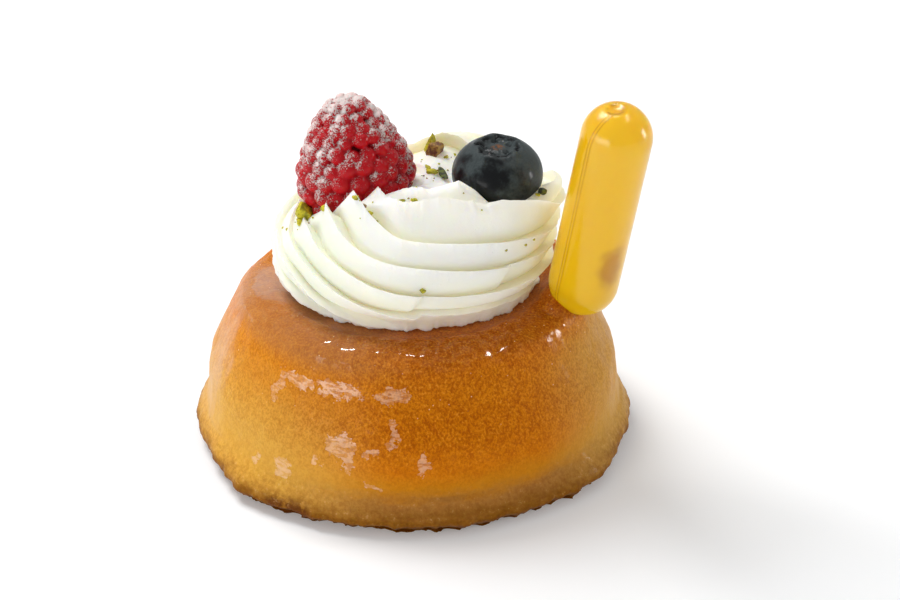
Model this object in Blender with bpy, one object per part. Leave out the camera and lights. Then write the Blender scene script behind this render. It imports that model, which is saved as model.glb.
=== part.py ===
"""Rum baba: a soaked yeast cake with piped cream, a raspberry, a blueberry and a squeeze pipette of rum.

Units are metres and +Z is up. The origin is the middle of the cake's flat underside. The photographed side
faces -Y. Angles round the cake are counted from +X towards +Y, seen from above.
"""

import math
import random

import bmesh
import bpy
from mathutils import Matrix, Vector, noise
from mathutils.bvhtree import BVHTree

MM = 0.001
GAP = 0.3 * MM
MERGE = 0.001 * MM

# Cake: radii and heights of its turned outline, from the foot up
FOOT_RADIUS = 33.8 * MM
FLARE_RADIUS = 36.3 * MM
FLARE_HEIGHT = 3.5 * MM
WAIST_RADIUS = 34.4 * MM
WAIST_HEIGHT = 9.7 * MM
SHOULDER_RADIUS = 30.6 * MM
SHOULDER_HEIGHT = 21.0 * MM
SIDE_BULGE = 0.5 * MM
CREST_RADIUS = 22.8 * MM
CAKE_HEIGHT = 28.8 * MM
HOLLOW_RADIUS = 21.4 * MM
HOLLOW_DEPTH = 0.5 * MM
SHOULDER_POWER = 1.9
CAKE_TURN_STEPS = 108

# Torn foot: how far its crags stand out and hang down, and how many there are round the cake
CRAG_DEPTH = 1.1 * MM
CRAG_COUNT = 31
CRAG_TOP = 6.5 * MM

# Cream: outlines from the base edge over the rim towards the hollow's middle, one for each quarter of the turn, as
# (radius, height over the base) in millimetres. Its lobes stand up from the rim: angle, spread, height.
CREAM_BASE = CAKE_HEIGHT - HOLLOW_DEPTH + GAP
HOLLOW_FLOOR = 44.6 * MM
CREAM_RIGHT = [(20.8, 0.0), (22.6, 3.6), (23.3, 7.2), (23.8, 10.6), (24.5, 14.0), (24.2, 17.4), (14.0, 16.0)]
CREAM_BACK = [(20.4, 0.0), (22.4, 3.6), (22.4, 7.2), (21.2, 10.4), (19.0, 13.0), (15.6, 14.8), (9.0, 15.6)]
CREAM_LEFT = [(21.2, 0.0), (22.9, 3.0), (23.0, 6.6), (22.0, 9.4), (19.6, 11.4), (16.6, 12.4), (10.0, 13.4)]
CREAM_FRONT = [(19.4, 0.0), (22.8, 3.8), (22.5, 7.2), (21.0, 11.4), (18.9, 14.9), (14.7, 19.6), (8.2, 18.6)]
LOBES = [(57.0, 30.0, 3.8), (226.0, 30.0, 3.4)]

# Cream ridges: how many spiral round it, where they climb to the rim, and how deep the grooves between them are
RIDGE_STARTS = 6
CLIMB_FROM = math.radians(165.0)
CLIMB_TO = math.radians(268.0)
CLIMB_SHARE = 0.37
RIDGE_SHIFT = 0.2
RIDGE_DEPTH = 1.9 * MM
RIDGE_CREST = 0.86
RIM = 5.0
RIDGE_ROWS = (0.0, 0.45, RIDGE_CREST)
CREAM_TURN_STEPS = 66

# Raspberry: the middle of its open end, its tip, and its widest radius over the drupelets
RASPBERRY_BASE = Vector((-8.6, 0.5, 42.0)) * MM
RASPBERRY_TIP = Vector((-10.9, 1.6, 59.9)) * MM
RASPBERRY_RADIUS = 9.5 * MM
RASPBERRY_SEED = 5
RASPBERRY_OUTLINE = [(0.0, 0.84), (0.12, 0.97), (0.26, 1.0), (0.47, 0.89), (0.64, 0.73), (0.82, 0.50), (0.93, 0.30)]
DRUPELET_RADIUS = 1.6 * MM
DRUPELET_SPACING = 3.3 * MM

# Blueberry: its middle, half width, half height, and its crown
BLUEBERRY_CENTRE = Vector((13.9, -2.0, 48.0)) * MM
BLUEBERRY_RADIUS = 7.4 * MM
BLUEBERRY_HALF_HEIGHT = 6.0 * MM
CROWN_RADIUS = 3.1 * MM
CROWN_DEPTH = 1.1 * MM
CROWN_LOBES = 5
CROWN_LEAN = math.radians(4.0)

# Pipette: the middles of its bulb's round ends, its radius and wall, and the stem that holds it in the cake
BULB_LOW = Vector((28.0, -8.8, 32.05)) * MM
BULB_HIGH = Vector((32.3, -14.0, 60.3)) * MM
BULB_RADIUS = 5.75 * MM
BULB_WALL = 0.45 * MM
STEM_RADIUS = 1.3 * MM
STEM_TIP_RADIUS = 1.0 * MM
STEM_BORE = 0.5 * MM
STEM_LENGTH = 14.0 * MM
SEAL_RADIUS = 1.5 * MM
SEAL_DEPTH = 0.5 * MM
BULB_TURN_STEPS = 20
BULB_END_STEPS = 5

# Pistachio: pieces lying on the cream, as x, y, length, width in millimetres, and pieces on its side, as degrees
# round the cake, height, length, width
NUTS_ON_TOP = [
    (3.2, 14.0, 3.6, 2.0),
    (5.4, 4.5, 3.2, 1.1),
    (3.3, 5.0, 1.6, 1.1),
    (-17.7, -4.0, 2.8, 1.5),
    (-14.2, -9.6, 1.6, 1.1),
    (-8.7, -13.4, 1.4, 0.9),
    (-6.4, -15.2, 1.3, 0.9),
    (1.0, -10.0, 1.2, 0.8),
    (4.2, -7.0, 1.4, 1.0),
    (17.0, -12.0, 1.5, 1.4),
    (21.0, -5.6, 1.9, 1.1),
]
NUTS_ON_SIDE = [(275.0, 36.9, 1.1, 1.1), (194.0, 39.4, 0.8, 0.8), (324.0, 40.9, 0.8, 0.8)]
NUT_SEED = 11


def clear_scene():
    """Removes the objects that the file opened with."""
    for item in list(bpy.data.objects):
        bpy.data.objects.remove(item, do_unlink=True)


def new_collection(name):
    """Makes a collection in the scene."""
    collection = bpy.data.collections.new(name)
    bpy.context.scene.collection.children.link(collection)
    return collection


def new_material(name, colour, roughness, metallic=0.0, alpha=1.0):
    """Makes a plain Principled material."""
    material = bpy.data.materials.new(name)
    material.use_nodes = True
    shader = material.node_tree.nodes["Principled BSDF"]
    shader.inputs["Base Color"].default_value = (*colour, 1.0)
    shader.inputs["Roughness"].default_value = roughness
    shader.inputs["Metallic"].default_value = metallic
    shader.inputs["Alpha"].default_value = alpha
    return material


def add_object(name, bm, collection, material=None):
    """Turns a bmesh into a smooth-shaded object in a collection."""
    bmesh.ops.recalc_face_normals(bm, faces=bm.faces)
    mesh = bpy.data.meshes.new(name)
    bm.to_mesh(mesh)
    bm.free()
    mesh.shade_smooth()
    mesh.set_sharp_from_angle(angle=math.radians(40.0))
    item = bpy.data.objects.new(name, mesh)
    collection.objects.link(item)
    if material:
        mesh.materials.append(material)
    return item


def smooth_step(value):
    """Rises smoothly from 0 to 1 as the value does, and stays there beyond."""
    value = min(max(value, 0.0), 1.0)
    return value * value * (3.0 - 2.0 * value)


def along(points, place):
    """Reads a smooth curve through evenly numbered points, at a whole or broken number."""
    last = len(points) - 1
    place = min(max(place, 0.0), float(last))
    start = min(int(place), last - 1)
    share = place - start
    before, here = points[max(start - 1, 0)], points[start]
    there, after = points[start + 1], points[min(start + 2, last)]
    return tuple(
        0.5 * (2.0 * b + (c - a) * share + (2.0 * a - 5.0 * b + 4.0 * c - d) * share**2
               + (3.0 * b - a - 3.0 * c + d) * share**3)
        for a, b, c, d in zip(before, here, there, after)
    )


def turned(profile, steps):
    """Spins a profile of (radius, height) points round Z into a closed bmesh."""
    bm = bmesh.new()
    ring = [bm.verts.new((radius, 0.0, height)) for radius, height in profile]
    edges = [bm.edges.new(pair) for pair in zip(ring, ring[1:])]
    bmesh.ops.spin(
        bm, geom=ring + edges, axis=(0.0, 0.0, 1.0), cent=(0.0, 0.0, 0.0), angle=2.0 * math.pi, steps=steps,
        use_merge=True,
    )
    bmesh.ops.remove_doubles(bm, verts=bm.verts, dist=MERGE)
    return bm


def apply_boolean(item, operation, **operand):
    """Cuts or joins one object or a collection, and leaves the result as a plain mesh."""
    modifier = item.modifiers.new("Boolean", "BOOLEAN")
    modifier.operation = operation
    modifier.solver = "EXACT"
    if "collection" in operand:
        modifier.operand_type = "COLLECTION"
        modifier.collection = operand["collection"]
    else:
        modifier.object = operand["object"]
    bpy.context.view_layer.update()
    evaluated = item.evaluated_get(bpy.context.evaluated_depsgraph_get())
    mesh = bpy.data.meshes.new_from_object(evaluated)
    item.modifiers.clear()
    item.data = mesh


def keep_outer_shell(item):
    """Keeps the largest connected surface, which fills the hollows that joining sealed and drops loose scraps."""
    bm = bmesh.new()
    bm.from_mesh(item.data)
    unseen = set(bm.verts)
    shells = []
    while unseen:
        shell, front = set(), [unseen.pop()]
        while front:
            vert = front.pop()
            shell.add(vert)
            near = {edge.other_vert(vert) for edge in vert.link_edges} & unseen
            unseen -= near
            front.extend(near)
        shells.append(shell)
    largest = max(shells, key=len)
    bmesh.ops.delete(bm, geom=[vert for vert in bm.verts if vert not in largest], context="VERTS")
    bm.to_mesh(item.data)
    bm.free()


def hide_cutter(item):
    """Marks an object as a cutter."""
    item.hide_render = True
    item.display_type = "WIRE"


def remove_collection(collection):
    """Removes a collection and the objects in it."""
    for item in list(collection.objects):
        bpy.data.objects.remove(item, do_unlink=True)
    bpy.data.collections.remove(collection)


def cake_profile():
    """Works out the cake's outline, from the middle of its underside to the middle of its hollow top."""
    points = [(0.0, 0.0), (FOOT_RADIUS - 1.2 * MM, 0.0), (FOOT_RADIUS, 0.4 * MM)]
    points += [(FLARE_RADIUS - 0.25 * MM, 0.55 * FLARE_HEIGHT), (FLARE_RADIUS, FLARE_HEIGHT)]
    flare_steps = 3
    for step in range(1, flare_steps + 1):
        share = step / flare_steps
        fall = math.sin(0.5 * math.pi * share)
        radius = FLARE_RADIUS + (WAIST_RADIUS - FLARE_RADIUS) * fall
        points.append((radius, FLARE_HEIGHT + (WAIST_HEIGHT - FLARE_HEIGHT) * share))
    side_steps = 3
    for step in range(1, side_steps + 1):
        share = step / side_steps
        radius = WAIST_RADIUS + (SHOULDER_RADIUS - WAIST_RADIUS) * share + SIDE_BULGE * math.sin(math.pi * share)
        points.append((radius, WAIST_HEIGHT + (SHOULDER_HEIGHT - WAIST_HEIGHT) * share))
    round_steps = 6
    for step in range(1, round_steps + 1):
        angle = 0.5 * math.pi * step / round_steps
        radius = CREST_RADIUS + (SHOULDER_RADIUS - CREST_RADIUS) * math.cos(angle) ** (2.0 / SHOULDER_POWER)
        rise = (CAKE_HEIGHT - SHOULDER_HEIGHT) * math.sin(angle) ** (2.0 / SHOULDER_POWER)
        points.append((radius, SHOULDER_HEIGHT + rise))
    points.append((HOLLOW_RADIUS, CAKE_HEIGHT - HOLLOW_DEPTH))
    points.append((0.0, CAKE_HEIGHT - HOLLOW_DEPTH))
    return points


def roughen_foot(bm):
    """Tears the foot into crags that stand out unevenly, and leaves the underside flat."""
    for vert in bm.verts:
        radius = math.hypot(vert.co.x, vert.co.y)
        if radius < 0.8 * FOOT_RADIUS or vert.co.z > CRAG_TOP:
            continue
        angle = math.atan2(vert.co.y, vert.co.x)
        direction = Vector((math.cos(angle), math.sin(angle), 0.0))
        torn = noise.noise(direction * CRAG_COUNT * 0.5) + 0.6 * noise.noise(direction * CRAG_COUNT)
        wave = 0.6 * noise.noise(direction * 2.4 + Vector((0.0, 0.0, 7.0)))
        low = 1.0 - smooth_step(vert.co.z / CRAG_TOP)
        vert.co += direction * (CRAG_DEPTH * (torn * low + wave))


def build_cake(collection, cutters, material):
    """Builds the cake, with the dent that the pipette's bulb presses in it and the hole of its stem."""
    bm = turned(cake_profile(), CAKE_TURN_STEPS)
    roughen_foot(bm)
    cake = add_object("baba", bm, collection, material)
    outline = capsule_outline(BULB_RADIUS + GAP, STEM_RADIUS + GAP)[:BULB_END_STEPS + 1]
    tip = -BULB_RADIUS - STEM_LENGTH - GAP
    profile = [(0.0, tip), (STEM_TIP_RADIUS + GAP, tip)] + outline + [(0.0, outline[-1][1])]
    hole = turned(profile, BULB_TURN_STEPS)
    bmesh.ops.transform(hole, matrix=bulb_frame(), verts=hole.verts)
    cutter = add_object("stem_hole", hole, cutters)
    apply_boolean(cake, "DIFFERENCE", object=cutter)
    hide_cutter(cutter)
    return cake


def climb(angle):
    """Tells how far the ridges have climbed, from 0 to 1, at an angle round the cream."""
    steady = angle / (2.0 * math.pi)
    steep = smooth_step((angle - CLIMB_FROM) / (CLIMB_TO - CLIMB_FROM))
    return (1.0 - CLIMB_SHARE) * steady + CLIMB_SHARE * steep


def cream_outline(place, angle):
    """Gives the smooth cream's radius and height at a place along its outline and an angle round it."""
    radius = height = 0.0
    for quarter, outline in enumerate((CREAM_RIGHT, CREAM_BACK, CREAM_LEFT, CREAM_FRONT)):
        weight = max(0.0, math.cos(angle - 0.5 * math.pi * quarter)) ** 2
        points = [(r * MM, CREAM_BASE + h * MM) for r, h in outline] + [(0.0, HOLLOW_FLOOR)]
        r, z = along(points, place)
        radius += weight * r
        height += weight * z
    for middle, spread, rise in LOBES:
        away = math.remainder(math.degrees(angle) - middle, 360.0) / spread
        height += rise * MM * math.exp(-away * away - (place - RIM) ** 2)
    return radius, height


def cream_point(phase, angle):
    """Places one point of the ridged cream: whole phases are grooves, with a crest just before each."""
    last = len(CREAM_FRONT)
    front = 1.5 * math.pi
    place = phase + RIDGE_SHIFT - RIDGE_STARTS * (climb(angle) - climb(front))
    place = min(max(place, 0.0), float(last))
    radius, height = cream_outline(place, angle)
    step = 0.05
    ahead = cream_outline(min(place + step, last), angle)
    behind = cream_outline(max(place - step, 0.0), angle)
    slope = Vector((ahead[0] - behind[0], ahead[1] - behind[1])).normalized()
    share = phase - math.floor(phase)
    tooth = share / RIDGE_CREST if share <= RIDGE_CREST else (1.0 - share) / (1.0 - RIDGE_CREST)
    fade = smooth_step(place / 0.5) * smooth_step((last - place) / 1.5)
    depth = RIDGE_DEPTH * fade * (tooth - 0.8)
    radius += slope.y * depth
    height -= slope.x * depth
    return Vector((radius * math.cos(angle), radius * math.sin(angle), height))


def cream_mesh(turn_steps, rows):
    """Lays a grid along the spiral ridges, so that each crest and groove is a line of edges."""
    front = climb(1.5 * math.pi)
    lowest = math.floor(-RIDGE_STARTS * front)
    highest = math.ceil(len(CREAM_FRONT) + RIDGE_STARTS * (1.0 - front))
    phases = [band + share for band in range(lowest, highest) for share in rows] + [float(highest)]
    bm = bmesh.new()
    bmesh.ops.create_grid(bm, x_segments=turn_steps, y_segments=len(phases) - 1, size=0.5)
    for vert in bm.verts:
        angle = 2.0 * math.pi * (vert.co.x + 0.5)
        row = round((vert.co.y + 0.5) * (len(phases) - 1))
        vert.co = cream_point(phases[row], angle)
    bmesh.ops.remove_doubles(bm, verts=bm.verts, dist=0.02 * MM)
    bmesh.ops.dissolve_degenerate(bm, dist=MERGE, edges=bm.edges)
    bmesh.ops.holes_fill(bm, edges=[edge for edge in bm.edges if edge.is_boundary], sides=0)
    return bm


def nut_piece(name, centre, length, width, rng, collection):
    """Makes one chopped piece of pistachio."""
    bm = bmesh.new()
    bmesh.ops.create_icosphere(bm, subdivisions=1, radius=0.5)
    size = Matrix.Diagonal((length, width, 0.8 * width, 1.0))
    turn = Matrix.Rotation(rng.uniform(0.0, math.pi), 4, "Z") @ Matrix.Rotation(rng.uniform(-0.5, 0.5), 4, "X")
    bmesh.ops.transform(bm, matrix=Matrix.Translation(centre) @ turn @ size, verts=bm.verts)
    return add_object(name, bm, collection)


def build_cream(collection, material, hollows):
    """Builds the piped cream with the nuts that lie on it, clear of the two berries."""
    bm = cream_mesh(CREAM_TURN_STEPS, RIDGE_ROWS)
    surface = BVHTree.FromBMesh(bm)
    cream = add_object("cream", bm, collection, material)
    nuts = new_collection("Nut pieces")
    rng = random.Random(NUT_SEED)
    for index, (x, y, length, width) in enumerate(NUTS_ON_TOP):
        above = Vector((x, y, 80.0)) * MM
        place = surface.ray_cast(above, Vector((0.0, 0.0, -1.0)))[0]
        nut_piece(f"top_nut_{index}", place, length * MM, width * MM, rng, nuts)
    for index, (turn, height, length, width) in enumerate(NUTS_ON_SIDE):
        inward = -Vector((math.cos(math.radians(turn)), math.sin(math.radians(turn)), 0.0))
        outside = Vector((0.0, 0.0, height * MM)) - inward * 60.0 * MM
        place = surface.ray_cast(outside, inward)[0]
        nut_piece(f"side_nut_{index}", place, length * MM, width * MM, rng, nuts)
    apply_boolean(cream, "UNION", collection=nuts)
    remove_collection(nuts)
    for hollow in hollows:
        apply_boolean(cream, "DIFFERENCE", object=hollow)
    keep_outer_shell(cream)
    return cream


def raspberry_profile(radius, overhang):
    """Works out the raspberry's smooth outline, from its open end to its tip."""
    length = (RASPBERRY_TIP - RASPBERRY_BASE).length
    low_radius = RASPBERRY_OUTLINE[0][1] * radius
    points = [(0.0, -overhang), (low_radius, -overhang)]
    points += [(share * radius, place * length) for place, share in RASPBERRY_OUTLINE[1:]]
    points.append((0.0, length + overhang))
    return points


def raspberry_frame():
    """Gives the matrix that stands the raspberry on its place."""
    axis = (RASPBERRY_TIP - RASPBERRY_BASE).normalized()
    return Matrix.Translation(RASPBERRY_BASE) @ axis.to_track_quat("Z", "Y").to_matrix().to_4x4()


def drupelet_places():
    """Spreads the drupelets in staggered rings over the raspberry, as points in its own frame."""
    length = (RASPBERRY_TIP - RASPBERRY_BASE).length
    outline = [(r * (RASPBERRY_RADIUS - DRUPELET_RADIUS * 0.75), s * length) for s, r in RASPBERRY_OUTLINE]
    outline.append((0.0, length - 0.9 * DRUPELET_RADIUS))
    fine = [along(outline, place * 0.02) for place in range((len(outline) - 1) * 50 + 1)]
    walked, ring, places = 0.0, 0, []
    reach = 1.0 * DRUPELET_SPACING
    for here, there in zip(fine, fine[1:]):
        walked += math.dist(here, there)
        if walked < reach:
            continue
        reach += 0.9 * DRUPELET_SPACING
        count = max(1, round(2.0 * math.pi * there[0] / DRUPELET_SPACING))
        for step in range(count):
            angle = 2.0 * math.pi * (step + 0.5 * (ring % 2)) / count
            places.append(Vector((there[0] * math.cos(angle), there[0] * math.sin(angle), there[1])))
        ring += 1
    places.append(Vector((0.0, 0.0, length - DRUPELET_RADIUS)))
    return places


def build_raspberry(collection, cutters, material):
    """Builds the raspberry, drupelets joined on a core, and the hollow that it sits in."""
    core = turned(raspberry_profile(RASPBERRY_RADIUS - 0.8 * DRUPELET_RADIUS, 0.0), 14)
    bmesh.ops.transform(core, matrix=raspberry_frame(), verts=core.verts)
    berry = add_object("raspberry", core, collection, material)
    drupelets = new_collection("Drupelets")
    rng = random.Random(RASPBERRY_SEED)
    for index, place in enumerate(drupelet_places()):
        bm = bmesh.new()
        bmesh.ops.create_icosphere(bm, subdivisions=1, radius=DRUPELET_RADIUS * rng.uniform(0.96, 1.1))
        turn = Matrix.Rotation(rng.uniform(0.0, math.pi), 4, Vector((0.3, 0.5, 1.0)))
        bmesh.ops.transform(bm, matrix=raspberry_frame() @ Matrix.Translation(place) @ turn, verts=bm.verts)
        add_object(f"drupelet_{index}", bm, drupelets)
    apply_boolean(berry, "UNION", collection=drupelets)
    keep_outer_shell(berry)
    remove_collection(drupelets)
    hollow = turned(raspberry_profile(RASPBERRY_RADIUS + 2.5 * GAP, DRUPELET_RADIUS + GAP), 24)
    bmesh.ops.transform(hollow, matrix=raspberry_frame(), verts=hollow.verts)
    cutter = add_object("raspberry_hollow", hollow, cutters)
    hide_cutter(cutter)
    return cutter


def blueberry_profile():
    """Works out the blueberry's outline, from its lowest point over the crown's rim into the crown."""
    points = []
    side_steps = 9
    rim_angle = math.acos(CROWN_RADIUS / BLUEBERRY_RADIUS)
    for step in range(side_steps + 1):
        angle = -0.5 * math.pi + (rim_angle + 0.5 * math.pi) * step / side_steps
        points.append((BLUEBERRY_RADIUS * math.cos(angle), BLUEBERRY_HALF_HEIGHT * math.sin(angle)))
    rim = points[-1][1]
    points[0] = (0.0, -BLUEBERRY_HALF_HEIGHT)
    points.append((0.86 * CROWN_RADIUS, rim + 0.25 * CROWN_DEPTH))
    points.append((0.62 * CROWN_RADIUS, rim - 0.5 * CROWN_DEPTH))
    points.append((0.0, rim - 0.75 * CROWN_DEPTH))
    return points


def build_blueberry(collection, cutters, material):
    """Builds the blueberry with its five-lobed crown, and the hollow that it sits in."""
    bm = turned(blueberry_profile(), 30)
    rim = BLUEBERRY_HALF_HEIGHT * math.sin(math.acos(CROWN_RADIUS / BLUEBERRY_RADIUS))
    for vert in bm.verts:
        radius = math.hypot(vert.co.x, vert.co.y)
        if vert.co.z > rim and radius > 0.5 * CROWN_RADIUS:
            lobe = 0.5 + 0.5 * math.cos(CROWN_LOBES * math.atan2(vert.co.y, vert.co.x))
            vert.co.z += 0.3 * MM * lobe
    lean = Matrix.Translation(BLUEBERRY_CENTRE) @ Matrix.Rotation(CROWN_LEAN, 4, "X")
    bmesh.ops.transform(bm, matrix=lean, verts=bm.verts)
    add_object("blueberry", bm, collection, material)
    hollow = bmesh.new()
    bmesh.ops.create_uvsphere(hollow, u_segments=24, v_segments=14, radius=1.0)
    size = Matrix.Diagonal((BLUEBERRY_RADIUS + 1.5 * GAP, BLUEBERRY_RADIUS + 1.5 * GAP,
                            BLUEBERRY_HALF_HEIGHT + 1.5 * GAP, 1.0))
    bmesh.ops.transform(hollow, matrix=lean @ size, verts=hollow.verts)
    cutter = add_object("blueberry_hollow", hollow, cutters)
    hide_cutter(cutter)
    return cutter


def bulb_frame():
    """Gives the matrix from the pipette's own frame, with its lower round end at the origin."""
    axis = (BULB_HIGH - BULB_LOW).normalized()
    return Matrix.Translation(BULB_LOW) @ axis.to_track_quat("Z", "Y").to_matrix().to_4x4()


def capsule_outline(radius, first_radius):
    """Works out a capsule's outline from its lower end, where it starts at a radius, to its top."""
    length = (BULB_HIGH - BULB_LOW).length
    start = -math.acos(first_radius / radius)
    points = []
    for step in range(BULB_END_STEPS + 1):
        angle = start * (1.0 - step / BULB_END_STEPS)
        points.append((radius * math.cos(angle), radius * math.sin(angle)))
    for step in range(BULB_END_STEPS + 1):
        angle = 0.5 * math.pi * step / BULB_END_STEPS
        points.append((radius * math.cos(angle), length + radius * math.sin(angle)))
    points[-1] = (0.0, length + radius)
    return points


def build_pipette(collection, material):
    """Builds the clear bulb with its hollow stem, open at the tip."""
    length = (BULB_HIGH - BULB_LOW).length
    inner_radius = BULB_RADIUS - BULB_WALL
    outer = capsule_outline(BULB_RADIUS, STEM_RADIUS)[:-1]
    seal = [(SEAL_RADIUS, length + BULB_RADIUS), (0.7 * SEAL_RADIUS, length + BULB_RADIUS - SEAL_DEPTH),
            (0.0, length + BULB_RADIUS - SEAL_DEPTH)]
    inner = capsule_outline(inner_radius, STEM_BORE)
    inner[-1] = (0.0, length + inner_radius - SEAL_DEPTH)
    inner[-2] = (inner[-2][0], inner[-2][1] - 0.5 * SEAL_DEPTH)
    tip = -BULB_RADIUS - STEM_LENGTH
    profile = [(STEM_BORE, tip), (STEM_TIP_RADIUS, tip)] + outer + seal
    profile += list(reversed(inner)) + [(STEM_BORE, tip)]
    bm = turned(profile, BULB_TURN_STEPS)
    bmesh.ops.transform(bm, matrix=bulb_frame(), verts=bm.verts)
    return add_object("pipette", bm, collection, material)


def build_rum(collection, material):
    """Builds the rum that fills the bulb."""
    radius = BULB_RADIUS - BULB_WALL - GAP
    profile = capsule_outline(radius, 0.0001 * MM)
    profile[0] = (0.0, -radius)
    profile[-1] = (0.0, profile[-1][1] - 1.5 * SEAL_DEPTH)
    profile[-2] = (profile[-2][0], profile[-2][1] - 0.7 * SEAL_DEPTH)
    bm = turned(profile, 20)
    bmesh.ops.transform(bm, matrix=bulb_frame(), verts=bm.verts)
    return add_object("rum", bm, collection, material)


def main():
    """Builds every piece of the rum baba."""
    clear_scene()
    parts = new_collection("Rum baba")
    cutters = new_collection("Cutters")
    crust = new_material("Soaked crust", (0.47, 0.18, 0.035), 0.3)
    whipped = new_material("Whipped cream", (0.84, 0.84, 0.70), 0.5)
    red = new_material("Raspberry skin", (0.32, 0.012, 0.016), 0.35)
    blue = new_material("Blueberry skin", (0.02, 0.025, 0.04), 0.4)
    clear = new_material("Clear plastic", (0.9, 0.85, 0.7), 0.1, alpha=0.35)
    amber = new_material("Amber rum", (0.75, 0.42, 0.04), 0.1)
    build_cake(parts, cutters, crust)
    hollows = [build_raspberry(parts, cutters, red), build_blueberry(parts, cutters, blue)]
    build_cream(parts, whipped, hollows)
    build_pipette(parts, clear)
    build_rum(parts, amber)


main()
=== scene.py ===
"""Looks of a rum baba: a soaked cake with piped cream, two berries, pistachio and a pipette of rum.

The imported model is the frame. Each piece is a finer mesh from the same named sizes as the solid that it
stands for, in metres, with +Z up and the origin in the middle of the cake's flat underside. The
photographed side faces -Y. Angles round the cake are counted from +X towards +Y, seen from above.
"""

from __future__ import annotations

import logging
import math
import random
from collections.abc import Callable
from dataclasses import dataclass, field
from enum import Enum

import bmesh
import bpy
import numpy as np
from mathutils import Matrix, Vector, noise
from mathutils.bvhtree import BVHTree

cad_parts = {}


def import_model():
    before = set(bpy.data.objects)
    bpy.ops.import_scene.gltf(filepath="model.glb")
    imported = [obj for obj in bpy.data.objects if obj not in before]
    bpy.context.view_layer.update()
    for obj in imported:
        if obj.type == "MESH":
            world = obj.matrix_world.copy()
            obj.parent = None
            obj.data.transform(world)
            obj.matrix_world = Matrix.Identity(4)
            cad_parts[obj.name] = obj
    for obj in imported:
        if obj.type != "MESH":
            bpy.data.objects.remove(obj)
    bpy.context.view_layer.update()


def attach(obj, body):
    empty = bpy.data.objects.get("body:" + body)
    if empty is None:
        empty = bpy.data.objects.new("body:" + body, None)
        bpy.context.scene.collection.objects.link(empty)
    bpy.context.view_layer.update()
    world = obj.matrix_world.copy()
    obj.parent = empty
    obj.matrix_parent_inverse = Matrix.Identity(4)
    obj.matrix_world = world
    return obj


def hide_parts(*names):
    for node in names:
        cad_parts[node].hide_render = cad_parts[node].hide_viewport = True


MM = 0.001
MERGE = 0.001 * MM
TURN = 2.0 * math.pi
BODY = "root"
UP = Vector((0.0, 0.0, 1.0))
DOWN = Vector((0.0, 0.0, -1.0))
FRONT = 1.5 * math.pi

Colour = tuple[float, float, float]
Profile = list[tuple[float, float]]
Outline = tuple[tuple[float, float], ...]
Rows = tuple[tuple[float, float, float], ...]
Shape = bmesh.types.BMesh

log = logging.getLogger("rum_baba")


def smooth_step(value: float) -> float:
    """Rises smoothly from 0 to 1 as the value does, and stays there beyond."""
    value = min(max(value, 0.0), 1.0)
    return value * value * (3.0 - 2.0 * value)


def between(low: float, high: float, share: float) -> float:
    """Gives the number at a share of the way from one to another."""
    return low + (high - low) * share


def bell(value: float) -> float:
    """Gives a hump that is 1 at zero and falls away smoothly on both sides."""
    return math.exp(-value * value)


def around(angle: float, reach: float = 1.0, height: float = 0.0) -> Vector:
    """Gives the point at an angle round Z, a distance out and a height."""
    return Vector((reach * math.cos(angle), reach * math.sin(angle), height))


def standing(place: Vector, axis: Vector) -> Matrix:
    """Gives the matrix that stands a shape at a place, with its +Z along an axis."""
    return Matrix.Translation(place) @ axis.to_track_quat("Z", "Y").to_matrix().to_4x4()


def along(points: list[tuple[float, ...]], place: float) -> tuple[float, ...]:
    """Reads a smooth curve through evenly numbered points.

    Args:
        points: The points that the curve goes through.
        place: A whole or broken number along them.

    Returns:
        The point of the curve there.
    """
    last = len(points) - 1
    place = min(max(place, 0.0), float(last))
    start = min(int(place), last - 1)
    share = place - start
    before, here = points[max(start - 1, 0)], points[start]
    there, after = points[start + 1], points[min(start + 2, last)]
    return tuple(
        0.5 * (2.0 * b + (c - a) * share + (2.0 * a - 5.0 * b + 4.0 * c - d) * share**2
               + (3.0 * b - a - 3.0 * c + d) * share**3)
        for a, b, c, d in zip(before, here, there, after)
    )


def turned(profile: Profile, steps: int) -> Shape:
    """Spins an outline round Z.

    Args:
        profile: Points of radius and height.
        steps: How many steps the full turn has.

    Returns:
        The closed turned shape.
    """
    bm = bmesh.new()
    ring = [bm.verts.new((radius, 0.0, height)) for radius, height in profile]
    edges = [bm.edges.new(pair) for pair in zip(ring, ring[1:])]
    bmesh.ops.spin(
        bm, geom=ring + edges, axis=UP, cent=(0.0, 0.0, 0.0), angle=TURN, steps=steps, use_merge=True,
    )
    bmesh.ops.remove_doubles(bm, verts=bm.verts, dist=MERGE)
    bmesh.ops.recalc_face_normals(bm, faces=bm.faces)
    return bm


def new_object(name: str, bm: Shape, sharp: float = 50.0) -> bpy.types.Object:
    """Turns a bmesh into a smooth-shaded object at the origin.

    Args:
        name: The object's name.
        bm: The shape, which is freed.
        sharp: Edges sharper than this many degrees stay crisp.

    Returns:
        The new object.
    """
    mesh = bpy.data.meshes.new(name)
    bm.to_mesh(mesh)
    bm.free()
    mesh.shade_smooth()
    mesh.set_sharp_from_angle(angle=math.radians(sharp))
    item = bpy.data.objects.new(name, mesh)
    bpy.context.scene.collection.objects.link(item)
    return item


def finish_piece(item: bpy.types.Object, material: bpy.types.Material, replaced: str = "") -> None:
    """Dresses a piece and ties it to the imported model.

    Args:
        item: The piece.
        material: Its finish.
        replaced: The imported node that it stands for, if any.
    """
    item.data.materials.clear()
    item.data.materials.append(material)
    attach(item, BODY)
    if replaced:
        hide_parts(replaced)
    log.info("%s: %d faces", item.name, len(item.data.polygons))


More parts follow.
